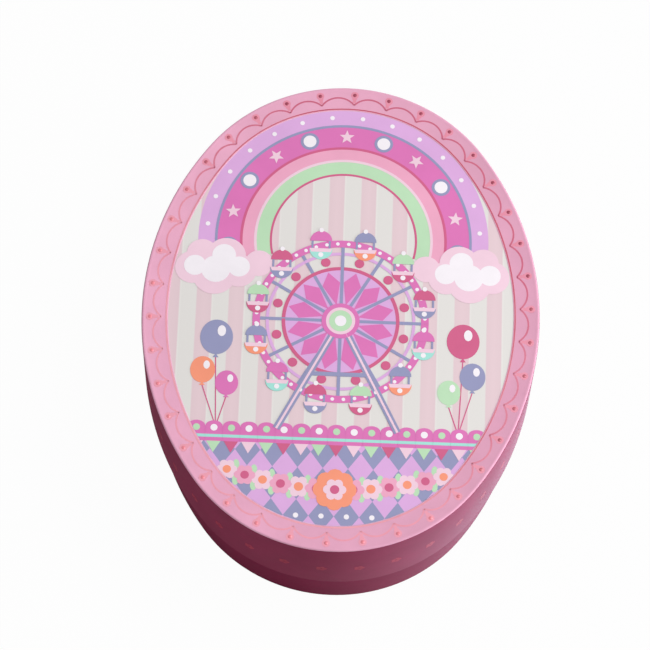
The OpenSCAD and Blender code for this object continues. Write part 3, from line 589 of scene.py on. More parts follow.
RIB_SECTION = ((-0.42, 0), (-0.3, 0.22), (0, 0.32), (0.3, 0.22), (0.42, 0), (0, -0.2))
bm = bmesh.new()
for turn in turns(PANELS):
    across = arm(turn + math.pi / 2, MM)
    ring = None
    for k in range(17):
        r = 2.4 + (ROOF_R - 3.0) * k / 16
        at = arm(turn, r * MM, EAVES_Z + (roof_over(r) - 0.12) * MM)
        loop = [bm.verts.new(at + across * w + Vector((0, 0, h * MM))) for w, h in RIB_SECTION]
        edges = [bm.edges.new(pair) for pair in zip(loop, loop[1:] + loop[:1])]
        if ring:
            bmesh.ops.bridge_loops(bm, edges=ring + edges)
        else:
            bmesh.ops.contextual_create(bm, geom=edges)
        ring = edges
    bmesh.ops.contextual_create(bm, geom=ring)
spun(bm, [(0.9, roof_over(0) - 0.5), (2.9, roof_over(2.9) - 0.3), (3.1, roof_over(3.1) - 0.05),
          (2.6, roof_over(2.6) + 0.16), (1.6, roof_over(0) + 0.02), (0.9, roof_over(0) + 0.02)], eaves, 48)
spun(bm, [(ROOF_R - inset, roof_over(ROOF_R) + z) for inset, z in (
    (1.2, -0.2), (0.3, -0.5), (0, -0.4), (0, -0.1), (0.3, 0.1), (1.0, 0.22))], eaves, 144)
facing_out(bm)
finished("canopy_ribs", bm, "carousel", "pole_gold", gilt)

SCALLOPS = 24
dress(["canopy_valance"], moulding("valance plastic", ink(150, 160, 212), 0.3, 0.000006, coat=0.3))
low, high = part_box("canopy_valance")
bm = bmesh.new()
for turn in turns(SCALLOPS, 0.5):
    at = Matrix.Translation(arm(turn, (ROOF_R - 0.45) * MM, low[2] + 0.75 * MM))
    bmesh.ops.create_uvsphere(bm, u_segments=10, v_segments=8, radius=0.72 * MM, matrix=at)
finished("valance_beads", bm, "carousel", "pole_gold", gilt)

low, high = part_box("canopy_finial")
FINIAL_H, BALL_R = (high[2] - low[2]) / MM, 1.4
mint_plastic = moulding("finial plastic", ink(190, 228, 196), 0.2, 0.000004, coat=0.6)
ball = [(BALL_R * math.sin(math.radians(t)), FINIAL_H - BALL_R - BALL_R * math.cos(math.radians(t)))
        for t in range(45, 180, 12)]
foot = [(0, 0), (1.9, 0), (2.2, 0.12), (2.0, 0.3), (1.2, 0.42), (0.95, 0.6)]
turned("finial", foot + ball + [(0, FINIAL_H)], (0, 0, low[2]), 40, "carousel", "finial_mint",
       mint_plastic, "canopy_finial")

# ---- Horse poles ----
# Six brass wires rolled with a twist, gold lacquered, held between platform and canopy
# with a turned collar at each end.
POLES, POLE_RING, POLE_R, GROOVES, TWISTS = 6, 0.036, 0.0009, 4, 2.5
COLLAR = ((0.5, 0), (1.5, 0), (1.6, 0.25), (1.3, 0.6), (1.1, 0.8), (0.5, 0.8))
POLE_H = EAVES_Z - TABLE_TOP


def disc(bm, r, at, sides):
    """A flat round."""
    rim = bmesh.ops.create_circle(bm, cap_ends=True, segments=sides, radius=r, matrix=at)["verts"]
    return rim[0].link_faces[0]


bm = bmesh.new()
for turn in turns(POLES):
    at = arm(turn, POLE_RING, TABLE_TOP)
    face = disc(bm, POLE_R, Matrix.Translation(at), 16)
    for v in face.verts:
        away = v.co - at
        v.co = at + away * (0.87 + 0.13 * math.cos(GROOVES * math.atan2(away.y, away.x)))
    bmesh.ops.spin(bm, geom=[face, *face.edges, *face.verts], cent=at, axis=(0, 0, 1),
                   dvec=(0, 0, POLE_H / 60), angle=math.tau * TWISTS, steps=60)
    for low in (0, POLE_H / MM - 0.8):
        spun(bm, [(r, low + z) for r, z in COLLAR], at, 20)
facing_out(bm)
finished("poles", bm, "carousel", "pole_gold", gilt, replaces=["horse_poles"])

# ---- Horses ----
# Six small galloping horses cast in ivory plastic in two halves, with lacquered manes,
# saddles and gilt hooves, threaded on their poles high and low by turns.

# They are drawn in millimetres, facing along X, on a pole of this height.
DRAWN_POLE_H, RIDE_LOW, RIDE_HIGH = 0.0176, 7.4, 8.8
ivory = moulding("horse ivory", ink(240, 230, 228), 0.3, 0.000006, coat=0.35, drift=0.02)
mane_inks = [moulding("mane " + word, colour, 0.35)
             for word, colour in (("blue", ink(128, 138, 190)), ("rose", ink(206, 92, 150)),
                                  ("lilac", ink(190, 140, 204)))]
saddle_inks = [moulding("saddle " + word, colour, 0.25, coat=0.4)
               for word, colour in (("rose", ink(206, 84, 132)), ("mint", ink(160, 212, 176)),
                                    ("blue", ink(128, 148, 206)))]
eye_black = moulding("eye black", ink(38, 30, 40), 0.15, coat=0.6)


def blob(bm, place, size, lean=0.0, sides=16):
    """An egg shape, leaned about the horse's cross axis."""
    at = (Matrix.Translation(Vector(place) * MM) @ Matrix.Rotation(math.radians(lean), 4, "Y")
          @ Matrix.Diagonal((*[s * MM for s in size], 1)))
    bmesh.ops.create_uvsphere(bm, u_segments=sides, v_segments=sides // 2 + 2, radius=1.0, matrix=at)


def limb(bm, *joints):
    """Tapered lengths between round joints of given radii."""
    for (*start, r0), (*end, r1) in zip(joints, joints[1:]):
        start, run = Vector(start), Vector(end) - Vector(start)
        steps = max(2, int(run.length / 0.35))
        for k in range(steps + 1):
            r = r0 + (r1 - r0) * k / steps
            blob(bm, start + run * k / steps, (r, r, r), sides=10)


def fused(bm, voxel, smoothing=2):
    """One smooth skin over the forms."""
    form = remeshed(bm, "form", voxel * MM, smoothing)
    skin = form.data
    bpy.data.objects.remove(form)
    return skin


body = bmesh.new()
blob(body, (-2.9, 0, 0.25), (3.0, 2.05, 2.35), 8)
blob(body, (0.2, 0, -0.1), (3.6, 1.95, 2.05))
blob(body, (3.0, 0, 0.35), (2.5, 1.9, 2.3), -18)
limb(body, (3.6, 0, 1.2, 1.75), (5.0, 0, 3.2, 1.35), (6.1, 0, 4.9, 1.05))
limb(body, (6.2, 0, 5.0, 1.05), (7.6, 0, 4.4, 0.85), (9.0, 0, 3.35, 0.62), (9.45, 0, 3.05, 0.6))
limb(body, (6.6, 0, 4.2, 0.8), (8.2, 0, 3.5, 0.5))
for side in (-1, 1):
    blob(body, (5.85, side * 0.5, 6.1), (0.24, 0.2, 0.55), 14)
    blob(body, (9.3, side * 0.32, 3.1), (0.4, 0.3, 0.36))
    leg = side * 1.15
    limb(body, (3.5, side, -0.7, 1.15), (5.3, leg, -1.9 - 0.3 * side, 0.78),
         (6.1, leg, -2.7 - 0.3 * side, 0.6), (5.2, leg, -4.2, 0.44), (4.6, leg, -5.2, 0.5))
    limb(body, (-3.6, side * 1.05, -0.6, 1.45), (-4.9, leg, -2.0, 0.95), (-6.1, leg, -3.0, 0.6),
         (-6.1, leg, -4.4, 0.42), (-6.7, leg, -5.6, 0.5))

hair = bmesh.new()
for lock in range(9):
    t = lock / 8
    for side in (-1, 0, 1):
        blob(hair, (2.25 + 2.5 * t + 0.35 * abs(side), side * 0.62, 2.9 + 3.0 * t - 0.5 * abs(side)),
             (0.75, 0.42, 0.5), 55 - 20 * t)
limb(hair, (6.2, 0, 6.0, 0.5), (7.3, 0, 5.5, 0.34))
limb(hair, (-5.5, 0, 1.2, 0.6), (-7.0, 0, 1.4, 0.85), (-8.2, 0, 0.2, 0.95), (-8.5, 0, -1.4, 0.7),
     (-8.0, 0, -2.6, 0.42))

saddle = bmesh.new()
blob(saddle, (-0.3, 0, 0.55), (2.2, 2.08, 1.75))

gear = bmesh.new()
blob(gear, (-2.0, 0, 2.15), (0.5, 1.05, 0.7), 20)
blob(gear, (1.5, 0, 1.95), (0.42, 0.7, 0.75), -20)
for x, tall, deep in ((2.35, 2.28, 1.93), (-1.1, 2.1, 1.97)):
    at = (Matrix.Translation((x * MM, 0, 0.1 * MM)) @ Matrix.Rotation(math.pi / 2, 4, "Y")
          @ Matrix.Diagonal((tall, deep, 1, 1)))
    strap = bmesh.ops.create_circle(gear, segments=32, radius=MM, matrix=at)["verts"]
    for v in strap[:]:
        bmesh.ops.create_icosphere(gear, subdivisions=1, radius=0.24 * MM, matrix=Matrix.Translation(v.co))
    bmesh.ops.delete(gear, geom=strap, context="VERTS")
for side in (-1, 1):
    limb(gear, (9.0, side * 0.62, 3.4, 0.13), (6.4, side * 0.98, 4.0, 0.13), (3.0, side * 1.1, 2.7, 0.13),
         (1.5, 0, 2.5, 0.13))
    for x, z in ((4.6, -5.35), (-6.75, -5.75)):
        blob(gear, (x, side * 1.15, z), (0.66, 0.56, 0.42))

eyes = bmesh.new()
for side in (-1, 1):
    blob(eyes, (7.15, side * 0.76, 4.75), (0.2, 0.14, 0.2), sides=10)

forms = (fused(body, 0.26), fused(hair, 0.24, 1), fused(saddle, 0.26, 3), mesh_of(gear, "tack"),
         mesh_of(eyes, "eyes"))
for index, form in enumerate(forms):
    form.polygons.foreach_set("material_index", [index] * len(form.polygons))
scale = POLE_H / DRAWN_POLE_H
for horse, turn in enumerate(turns(POLES)):
    up = TABLE_TOP + (RIDE_LOW, RIDE_HIGH)[horse % 2] * MM * scale
    stand = (Matrix.Rotation(turn, 4, "Z") @ Matrix.Translation((POLE_RING, 0, up))
             @ Matrix.Rotation(math.pi / 2, 4, "Z") @ Matrix.Scale(scale, 4))
    bm = bmesh.new()
    for form in forms:
        bm.from_mesh(form)
    bmesh.ops.transform(bm, matrix=stand, verts=bm.verts)
    facing_out(bm)
    finished(f"carousel_horse_{horse + 1}", bm, "carousel", "horse_ivory", ivory, mane_inks[horse % 3],
             saddle_inks[horse % 3], gilt, eye_black, replaces=[f"horse_{horse + 1}"])

# ---- Lid skirt ----
# The deep wall of the lid: board bent round the oval and glued at the back, under a
# rose paper with a faint row of little flowers, turned in at the lower edge.
SKIRT_LOW, RIM, SKIRT_IN, SKIRT_T, RIM_R = 0.030, 0.0712, 0.00006, 0.0030, 0.0003
FLOWERS, FLOWER_Z, FLOWER_PHASE, PETAL_R, PETALS = 38, 0.0480, 0.006, 0.00110, 5
wall_print = printed_paper("wall print", ink(138, 41, 76), 0.10, roughness=0.55, specular=0.08)
bm = bmesh.new()
sweep_round(bm, [(SKIRT_T, SKIRT_LOW + FOLD_R), (SKIRT_T, RIM)]
            + corner(SKIRT_IN + RIM_R, RIM - RIM_R, RIM_R, 90, 0)
            + corner(SKIRT_IN + FOOT_R, SKIRT_LOW + FOOT_R, FOOT_R, 0, -90)
            + corner(SKIRT_T - FOLD_R, SKIRT_LOW + FOLD_R, FOLD_R, -90, -180))
finished("skirt", bm, "lid", "print_rose", wall_print, replaces=["lid_skirt"])
overlap("skirt_paper_lap", "lid", SKIRT_IN, SKIRT_LOW + FOOT_R, RIM - FOLD_R, wall_print)


def along_oval(part, inset):
    """Place and outward direction at a part (0 to 1) of the way round, from the right-hand end."""
    side, end = SIDE_R * LEAN, END_R * (math.pi / 2 - LEAN)
    quarter, rest = divmod((part % 1.0) * 4 * (side + end), side + end)
    if quarter % 2:
        rest = side + end - rest
    if rest <= side:
        turn = rest / SIDE_R
        place = arm(turn, SIDE_R - inset) - Vector((SIDE_C, 0, 0))
    else:
        turn = LEAN + (rest - side) / END_R
        place = arm(turn, END_R - inset) + Vector((0, END_C, 0))
    mirrored = Vector(((1, 1, 0), (-1, 1, 0), (-1, -1, 0), (1, -1, 0))[int(quarter) % 4])
    return place * mirrored, arm(turn) * mirrored


def lift(bm, face, height):
    """Gives a flat face its thickness."""
    raised = bmesh.ops.extrude_face_region(bm, geom=[face])["geom"]
    bmesh.ops.translate(bm, vec=height, verts=[g for g in raised if isinstance(g, bmesh.types.BMVert)])


flower_print = printed_paper("flower print", ink(168, 44, 74), 0.12, specular=0.13)
bm = bmesh.new()
for flower in range(FLOWERS):
    place, outward = along_oval(flower / FLOWERS + FLOWER_PHASE, SKIRT_IN)
    stand = outward.to_track_quat("Z", "Y").to_matrix().to_4x4()
    stand.translation = place + Vector((0, 0, FLOWER_Z)) - outward * 0.00008
    for turn in turns(PETALS):
        at = stand @ Matrix.Rotation(turn, 4, "Z") @ Matrix.Translation((PETAL_R * 1.3, 0, 0))
        lift(bm, disc(bm, PETAL_R, at, 8), outward * 0.00009)
facing_out(bm)
finished("skirt_flowers", bm, "lid", "print_rose", flower_print, smooth=False)

# ---- Lid border ----
# A frame of board under pale pink paper, glued on round the edge of the lid, with its
# outer edge rolled. Scalloped arches and an inner line are printed on it in rose, and a
# drop of red enamel stands in a printed halo between each two arches.
BORDER_W, FIELD, EDGE_IN, ROLL_R = 0.0120, HEIGHT - 0.00030, 0.0002, 0.0007
DOTS, DOT_PHASE, DOT_IN, DOT_R = 38, 0.018, 0.0039, 0.00095
CUSP_IN, ARCH_RISE, LINE_W, LINE_T, LINE_IN = 0.0090, 0.0041, 0.0008, 0.00006, 0.0109
PRINT_Z = FIELD - 0.00003
border_print = printed_paper("border print", ink(221, 161, 187), 0.05, specular=0.2)
bm = bmesh.new()
sweep_round(bm, [(EDGE_IN, RIM)] + corner(EDGE_IN + ROLL_R, HEIGHT - ROLL_R, ROLL_R, 0, 90, 7)
            + [(0.0016, HEIGHT - 0.00010), (0.0022, FIELD)]
            + corner(BORDER_W - RIM_R, FIELD - RIM_R, RIM_R, 90, 180) + [(BORDER_W, RIM)])
finished("border", bm, "lid", "print_pink", border_print, replaces=["lid_border_frame"])


def shaded_print(name, in_shade, in_light):
    """Print painted darker towards the back right of the lid and paler at the front left, in random patches:
    painted shade and painted light.
    """
    m = printed_paper(name, in_shade)
    tree = m.node_tree
    # The painted shade grows along this direction, from the front left (painted light) to the back right
    # (painted shade).
    along = add_node(tree, "VectorMath", {0: on_piece(tree), 1: (3.6, 3.4, 0)}, "DOT_PRODUCT")
    patchy = noise_on(tree, 30, 3.0)
    shade_share = add_node(tree, "Math", {0: along.outputs["Value"], 1: patchy}, "ADD").outputs["Value"]
    tinted(tree, tree.nodes["Principled BSDF"], shade_share, [(0.16, in_light), (0.82, in_shade)])
    return m


bm = bmesh.new()
on_print = Vector((0, 0, PRINT_Z))
for dot in range(DOTS):
    here, out_here = along_oval(dot / DOTS - DOT_PHASE, CUSP_IN)
    there, out_there = along_oval((dot + 1) / DOTS - DOT_PHASE, CUSP_IN)
    half = (there - here).length / 2
    arch_r = (half * half + ARCH_RISE * ARCH_RISE) / (2 * ARCH_RISE)
    centre = (here + there) / 2 - (out_here + out_there).normalized() * (arch_r - ARCH_RISE)
    side, rise = (here - centre).normalized() * LINE_W / 2, Vector((0, 0, LINE_T))
    swept(bm, [here + on_print + step for step in (-side, side, side + rise, rise - side)],
          centre + on_print, 2 * math.asin(half / arch_r), 12)
facing_out(bm)
# The arch line and the inner line carry the painted shade and light of the print.
arch_print = shaded_print("arch line", ink(196, 98, 124), ink(231, 155, 172))
finished("arches", bm, "lid", "print_pink", arch_print, smooth=False)

bm = bmesh.new()
sweep_round(bm, [(LINE_IN, PRINT_Z), (LINE_IN, PRINT_Z + 0.00007),
                 (LINE_IN + 0.0006, PRINT_Z + 0.00007), (LINE_IN + 0.0006, PRINT_Z)])
inner_line_print = shaded_print("inner line", ink(190, 84, 104), ink(232, 158, 170))
finished("inner_line", bm, "lid", "print_pink", inner_line_print, smooth=False)

# The halos and the enamel drops are also painted darker at the back right and paler at the front left, a
# painted shade and light.
halo_print = shaded_print("halo", ink(222, 138, 160), ink(232, 156, 174))
enamel = shaded_print("dot enamel", ink(150, 50, 76), ink(228, 130, 142))
enamel_shader = enamel.node_tree.nodes["Principled BSDF"]
enamel_shader.inputs["Roughness"].default_value = 0.25
enamel_shader.inputs["Coat Weight"].default_value = 0.5
halos, drops = bmesh.new(), bmesh.new()
for dot in range(DOTS):
    place, outward = along_oval(dot / DOTS - DOT_PHASE, DOT_IN)
    place += on_print
    for r, step_in, thick in ((0.0018, 0, 0.00009), (0.0011, 0.0017, 0.00007), (0.0008, 0.0032, 0.00005)):
        at = Matrix.Translation(place - outward * step_in)
        lift(halos, disc(halos, r, at, 20), Vector((0, 0, thick)))
    bmesh.ops.create_uvsphere(drops, u_segments=16, v_segments=8, radius=DOT_R,
                              matrix=Matrix.Translation(place) @ Matrix.Diagonal((1, 1, 0.32, 1)))
facing_out(halos)
finished("dot_halos", halos, "lid", "print_pink", halo_print, smooth=False)
finished("dots", drops, "lid", "print_pink", enamel)

# ---- Lid board, collar and lining ----
# The flat board across the top of the lid, the collar inside the skirt that sits on the
# base's rim, and the lining card over the board, all in pale pink lining paper.
dress(["lid_top_board"], printed_paper("board paper", ink(228, 170, 194), 0.05))
dress(["lid_inner_band", "lid_lining"],
      printed_paper("lining paper", ink(243, 222, 230), 0.03, roughness=0.6))

# ---- Picture panel ----
# A card inside the border with a glossy print of a fairground: a rainbow, a big wheel,
# balloons and a chequered green. Each ink is a thin raised layer on the striped card.
PANEL_TOP, LAYER, UNDER = 0.0715, 0.00003, 0.000028
CARD_EDGE, STRIPE_PITCH = 0.01205, 0.0146
INKS = (("card", ink(219, 216, 213)), ("stripe", ink(219, 195, 201)), ("lilac", ink(214, 166, 216)),
        ("magenta", ink(214, 114, 178)), ("pink", ink(230, 162, 190)), ("mint", ink(182, 216, 180)),
        ("rose", ink(202, 94, 134)), ("blue", ink(144, 146, 182)), ("peach", ink(240, 148, 118)),
        ("aqua", ink(160, 220, 210)), ("pearl", ink(238, 232, 238)), ("cloud", ink(234, 200, 216)))
CARD, STRIPE, LILAC, MAGENTA, PINK, MINT, ROSE, BLUE, PEACH, AQUA, PEARL, CLOUD = range(len(INKS))
prints = [printed_paper("print " + word, colour, 0.035, coat=0.04, specular=0.25, tooth=0.000012)
          for word, colour in INKS]

tree = prints[CARD].node_tree
across = add_node(tree, "SeparateXYZ", {0: on_piece(tree)}).outputs["X"]
count = add_node(tree, "Math", {0: across, 1: 1 / STRIPE_PITCH}, "MULTIPLY").outputs["Value"]
part = add_node(tree, "Math", {0: count, 1: 1.0, 2: 0.0}, "WRAP").outputs["Value"]
card, stripe = INKS[CARD][1], INKS[STRIPE][1]
pale = shade(card, 1.05)
tinted(tree, tree.nodes["Principled BSDF"], part,
       [(0.00, pale), (0.05, card), (0.50, card), (0.53, stripe), (0.76, shade(stripe, 1.03)),
        (0.97, stripe), (1.00, pale)])

bm = bmesh.new()
sweep_round(bm, [(BORDER_W - 0.0002, RIM), (BORDER_W - 0.0002, PANEL_TOP)], closed=False)
for level in (RIM, PANEL_TOP):
    loop = [e for e in bm.edges if e.is_boundary and all(abs(v.co.z - level) < 1e-6 for v in e.verts)]
    bmesh.ops.contextual_create(bm, geom=loop)
facing_out(bm)
finished("panel", bm, "lid", "print_picture", prints[CARD], smooth=False, replaces=["picture_panel"])


def level_z(bm, level):
    """Height of the underside of a layer of the print, a hair apart for neighbours that overlap."""
    return PANEL_TOP + (level - 1) * LAYER - UNDER + (len(bm.verts) // 2 % 9) * 0.000003


def lay(bm, face, colour):
    """Gives a flat face the thickness of a layer and one of the inks."""
    face.material_index = colour
    lift(bm, face, Vector((0, 0, LAYER)))


def spot(bm, x, y, r, level, colour, sides=24, tall=1.0):
    """A round of ink, millimetres on the card."""
    at = Matrix.Translation((x * MM, y * MM, level_z(bm, level))) @ Matrix.Diagonal((1, tall, 1, 1))
    lay(bm, disc(bm, r * MM, at, sides), colour)


def patch(bm, corners, level, colour):
    """A flat shape of ink with straight edges."""
    verts = [bm.verts.new((x * MM, y * MM, level_z(bm, level))) for x, y in corners]
    lay(bm, bm.faces.new(verts), colour)


def bar(bm, start, end, width, level, colour):
    """A straight line of ink between two places."""
    run = (Vector(end) - Vector(start)).normalized() * width / 2
    (x0, y0), (x1, y1) = start, end
    patch(bm, [(x0 + run.y, y0 - run.x), (x1 + run.y, y1 - run.x), (x1 - run.y, y1 + run.x),
               (x0 - run.y, y0 + run.x)], level, colour)


def arc(bm, x, y, inner, outer, start, turn, level, colour, steps=36):
    """A curved band of ink round a place, over a part of a circle in degrees."""
    centre = Vector((x * MM, y * MM, level_z(bm, level)))
    swept(bm, [centre + arm(math.radians(start), r * MM, z)
               for r, z in ((inner, 0), (outer, 0), (outer, LAYER), (inner, LAYER))],
          centre, math.radians(turn), steps, colour)


def off(centre, turn, r):
    """The place that far from a centre at this angle."""
    return centre[0] + r * math.cos(turn), centre[1] + r * math.sin(turn)


def star(bm, x, y, r, level, colour, turn, points=5, waist=0.42):
    """A star of ink with a point at this angle."""
    patch(bm, [off((x, y), turn + k * math.pi / points, r * (waist if k % 2 else 1))
               for k in range(2 * points)], level, colour)


def flower(bm, x, y, r, level, petals, heart, count=6):
    """Round petals about a heart."""
    for turn in turns(count):
        spot(bm, *off((x, y), turn, 0.62 * r), r * 0.42, level, petals, 12)
    spot(bm, x, y, r * 0.42, level + 1, heart, 14)


def card_edge(v):
    """Where a corner beyond the card is drawn in to, or None for a corner on the card."""
    ax, ay = abs(v.co.x), abs(v.co.y)
    on_end = ay - END_C > ax * 0.75
    (cx, cy), reach = ((0, END_C), END_R - CARD_EDGE) if on_end else ((-SIDE_C, 0), SIDE_R - CARD_EDGE)
    away = math.hypot(ax - cx, ay - cy)
    if away <= reach:
        return None
    return (math.copysign(cx + (ax - cx) * reach / away, v.co.x),
            math.copysign(cy + (ay - cy) * reach / away, v.co.y))


def trimmed(name, bm):
    """Leaves out what lies beyond the card, and draws in what would run under the border."""
    facing_out(bm)
    crossing = [e for e in bm.edges if len([v for v in e.verts if card_edge(v)]) == 1]
    bmesh.ops.subdivide_edges(bm, edges=crossing, cuts=8)
    edge = {v: card_edge(v) for v in bm.verts}
    waiting, lost = set(bm.verts), []
    while waiting:
        shape, reached = [], [waiting.pop()]
        while reached:
            v = reached.pop()
            shape.append(v)
            near = {e.other_vert(v) for e in v.link_edges} & waiting
            waiting -= near
            reached += near
        if all(edge[v] for v in shape):
            lost += shape
    for v, place in edge.items():
        if place:
            v.co.x, v.co.y = place
    bmesh.ops.delete(bm, geom=lost, context="VERTS")
    finished(name, bm, "lid", "print_picture", *prints, smooth=False)


# The rainbow over the top end, with pearls and stars on its widest band
ARCH_AT = (0, 36)
bm = bmesh.new()
for inner, outer, level, colour in (
        (58.4, 66.2, 1, LILAC), (47.0, 57.6, 1, MAGENTA), (40.6, 46.2, 1, PINK), (33.4, 39.8, 1, MINT),
        (57.4, 58.6, 2, BLUE), (46.0, 47.2, 2, ROSE), (39.6, 40.8, 2, CLOUD), (32.6, 33.6, 2, ROSE)):
    arc(bm, *ARCH_AT, inner, outer, -14, 208, level, colour, 72)
for k in range(11):
    turn = math.radians(90 + (k - 5) * 19.0)
    place = off(ARCH_AT, turn, 52.4)
    if k % 2:
        star(bm, *place, 3.6, 3, CLOUD, turn)
    else:
        spot(bm, *place, 4.3, 3, BLUE)
        spot(bm, *place, 3.0, 4, PEARL)
for k in range(16):
    spot(bm, *off(ARCH_AT, math.radians(90 + (k - 7.5) * 13.0), 62.4), 1.1, 3, PEARL, 12)
trimmed("rainbow", bm)

bm = bmesh.new()
for side in (-1, 1):
    for x, y, r in ((68, 20, 8), (58, 17, 10), (47, 19, 8), (38, 23, 6.4), (53, 26, 9), (64, 27, 7)):
        spot(bm, side * x, y, r, 5, CLOUD, 28)
    for x, y, r in ((67, 21, 5), (57.5, 19.5, 6.6), (47, 21, 5), (54, 26.5, 5.4)):
        spot(bm, side * x, y, r, 6, PEARL, 24)
trimmed("clouds", bm)

# The big wheel on its two legs, with a rosette at its heart and twelve cabins
HUB, WHEEL_R, CABINS, BULBS, GROUND = (0, -4), 38, 12, 48, -57
bm = bmesh.new()
arc(bm, *HUB, 1, 25.5, 0, 359.9, 5, LILAC, 72)
for turn in turns(CABINS):
    bar(bm, HUB, off(HUB, turn, WHEEL_R), 1.5, 6, BLUE)
    petal = turn + math.pi / CABINS
    middle = off(HUB, petal, 18.5)
    patch(bm, [off(HUB, petal, 8), off(middle, petal - math.pi / 2, 4.1), off(HUB, petal, 24.5),
               off(middle, petal + math.pi / 2, 4.1)], 6, MAGENTA)
    spot(bm, *off(HUB, petal, 29.6), 2.2, 6, ROSE, 14)
for inner, outer, colour, level in ((25.0, 26.6, ROSE, 6), (32.4, 33.8, LILAC, 6), (36.4, 39.8, MAGENTA, 7)):
    arc(bm, *HUB, inner, outer, 0, 359.9, level, colour, 96)
for turn in turns(BULBS, 0.5):
    spot(bm, *off(HUB, turn, 38.1), 0.85, 8, PEARL, 10)
for foot_x in (-27, 27):
    bar(bm, HUB, (foot_x, GROUND), 3.2, 8, BLUE)
    bar(bm, HUB, (foot_x, GROUND), 1.0, 9, CLOUD)
bar(bm, (-14, -30), (14, -30), 2.0, 8, BLUE)
for r, colour, level in ((8.6, MAGENTA, 9), (6.6, CLOUD, 10), (5.2, MINT, 11), (2.6, PEARL, 12)):
    spot(bm, *HUB, r, level, colour, 32)
trimmed("big_wheel", bm)

bm = bmesh.new()
for k, turn in enumerate(turns(CABINS, 0.5)):
    x, y = off(HUB, turn, 39)
    y -= 2.4
    cup, roof = ((BLUE, ROSE), (ROSE, MINT), (PEACH, BLUE), (AQUA, MAGENTA))[k % 4]
    arc(bm, x, y, 0.05, 5.2, 180, 180, 9, cup, 14)
    patch(bm, [(x - 5.2, y + 0.3), (x - 4.4, y - 1.5), (x + 4.4, y - 1.5), (x + 5.2, y + 0.3)], 10, CLOUD)
    for post in (x - 3.9, x + 3.9):
        bar(bm, (post, y), (post, y + 4.4), 0.9, 9, BLUE)
    arc(bm, x, y + 4.0, 0.05, 5.0, 0, 180, 10, roof, 12)
    spot(bm, x, y + 9.4, 1.1, 11, PEARL, 12)
    spot(bm, x, y - 2.9, 1.2, 11, PEARL, 12)
trimmed("cabins", bm)

# Balloons on their strings at each side
bm = bmesh.new()
for tied_at, balloons in ((-54, ((-55.5, -14, 7.4, BLUE), (-61, -30, 5.6, PEACH), (-50, -36, 5.2, MAGENTA))),
                          (54, ((55.5, -12, 7.4, ROSE), (60, -29, 5.8, BLUE), (49.5, -37, 5.2, MINT)))):
    for x, y, r, colour in balloons:
        spot(bm, x, y, r, 4, colour, 32, 1.14)
        patch(bm, [(x, y - r * 1.06), (x - 1.3, y - r * 1.34), (x + 1.3, y - r * 1.34)], 4, colour)
        spot(bm, x + r * 0.3, y + r * 0.42, r * 0.26, 5, PEARL, 12, 1.4)
        bar(bm, (x, y - r * 1.3), (tied_at, GROUND), 0.5, 3, ROSE)
trimmed("balloons", bm)

# The green: lilac and blue lozenges, and over them a scalloped rose path with flags
PATH_PITCH, PATH_LOW, LOZENGE_W, LOZENGE_H = 7.8, -64, 11.2, 15.0
bm = bmesh.new()
for k in range(-10, 11):
    left, right = (k - 0.5) * PATH_PITCH, (k + 0.5) * PATH_PITCH
    patch(bm, [(left, -104), (right, -104), (right, -58), (left, -58)], 1, LILAC)
for row in range(7):
    for k in range(-8, 9):
        x, y = (k + (row % 2) / 2) * LOZENGE_W, -60 - row * LOZENGE_H / 2
        patch(bm, [(x - LOZENGE_W / 2, y), (x, y - LOZENGE_H / 2), (x + LOZENGE_W / 2, y),
                   (x, y + LOZENGE_H / 2 if row else y)], 2, BLUE if row % 2 else LILAC)
        if row % 2 and row > 1:
            spot(bm, x, y, 1.2, 3, PEARL, 12)
trimmed("lozenges", bm)

bm = bmesh.new()
for k in range(-9, 10):
    x = k * PATH_PITCH
    left, right = x - 3.95, x + 3.95
    patch(bm, [(left, PATH_LOW), (right, PATH_LOW), (right, GROUND), (left, GROUND)], 4, MAGENTA)
    spot(bm, x, GROUND, 3.9, 4, MAGENTA, 20, 0.7)
    spot(bm, x, -57.6, 1.6, 5, PEARL if k % 2 else MINT, 14)
    patch(bm, [(left, -62.2), (right, -62.2), (right, -60.8), (left, -60.8)], 5, AQUA)
    patch(bm, [(x - 3.2, PATH_LOW), (x, -69.4), (x + 3.2, PATH_LOW)], 4, (ROSE, CLOUD, MINT)[k % 3])
trimmed("path", bm)

# A garland of flowers hung across the green
GARLAND_PITCH, GARLAND_Y, HANG = 8.0, -85.0, 0.22
bm = bmesh.new()
for k in range(-6, 7):
    flower(bm, k * GARLAND_PITCH, GARLAND_Y + HANG * k * k, 5.2 - 0.12 * abs(k), 4, (CLOUD, PINK)[k % 2],
           (PEACH, ROSE)[k % 2])
for k in range(-6, 6):
    x, y = (k + 0.5) * GARLAND_PITCH, GARLAND_Y + HANG * (k + 0.5) ** 2
    spot(bm, x, y - 3.6, 1.5, 3, MINT, 10, 1.7)
    spot(bm, x, y + 3.6, 1.5, 3, MINT, 10, 1.7)
flower(bm, 0, GARLAND_Y, 9.4, 6, PEACH, PEARL, 8)
spot(bm, 0, GARLAND_Y, 5.4, 7, PEACH, 24)
flower(bm, 0, GARLAND_Y, 5.0, 8, CLOUD, ROSE)
trimmed("garland", bm)

# ---- Studio ----
# A pale floor round the foot of the box, open under it and seen through from below, so
# that the key and the underside show there, with soft light from above and the right.
bm = bmesh.new()
sweep_round(bm, [(BASE_IN + 0.0006, 0.0), (-3.0, 0.0)], closed=False)
if sum(face.normal.z for face in bm.faces) < 0:
    bmesh.ops.reverse_faces(bm, faces=bm.faces)
floor = placed("floor", mesh_of(bm, "floor"))


def emptied(owner):
    """The owner's node tree with nothing in it."""
    owner.use_nodes = True
    owner.node_tree.nodes.clear()
    return owner.node_tree


def math_on(tree, operation, *values):
    """The result of a sum on values of the tree."""
    return add_node(tree, "Math", dict(enumerate(values)), operation).outputs["Value"]
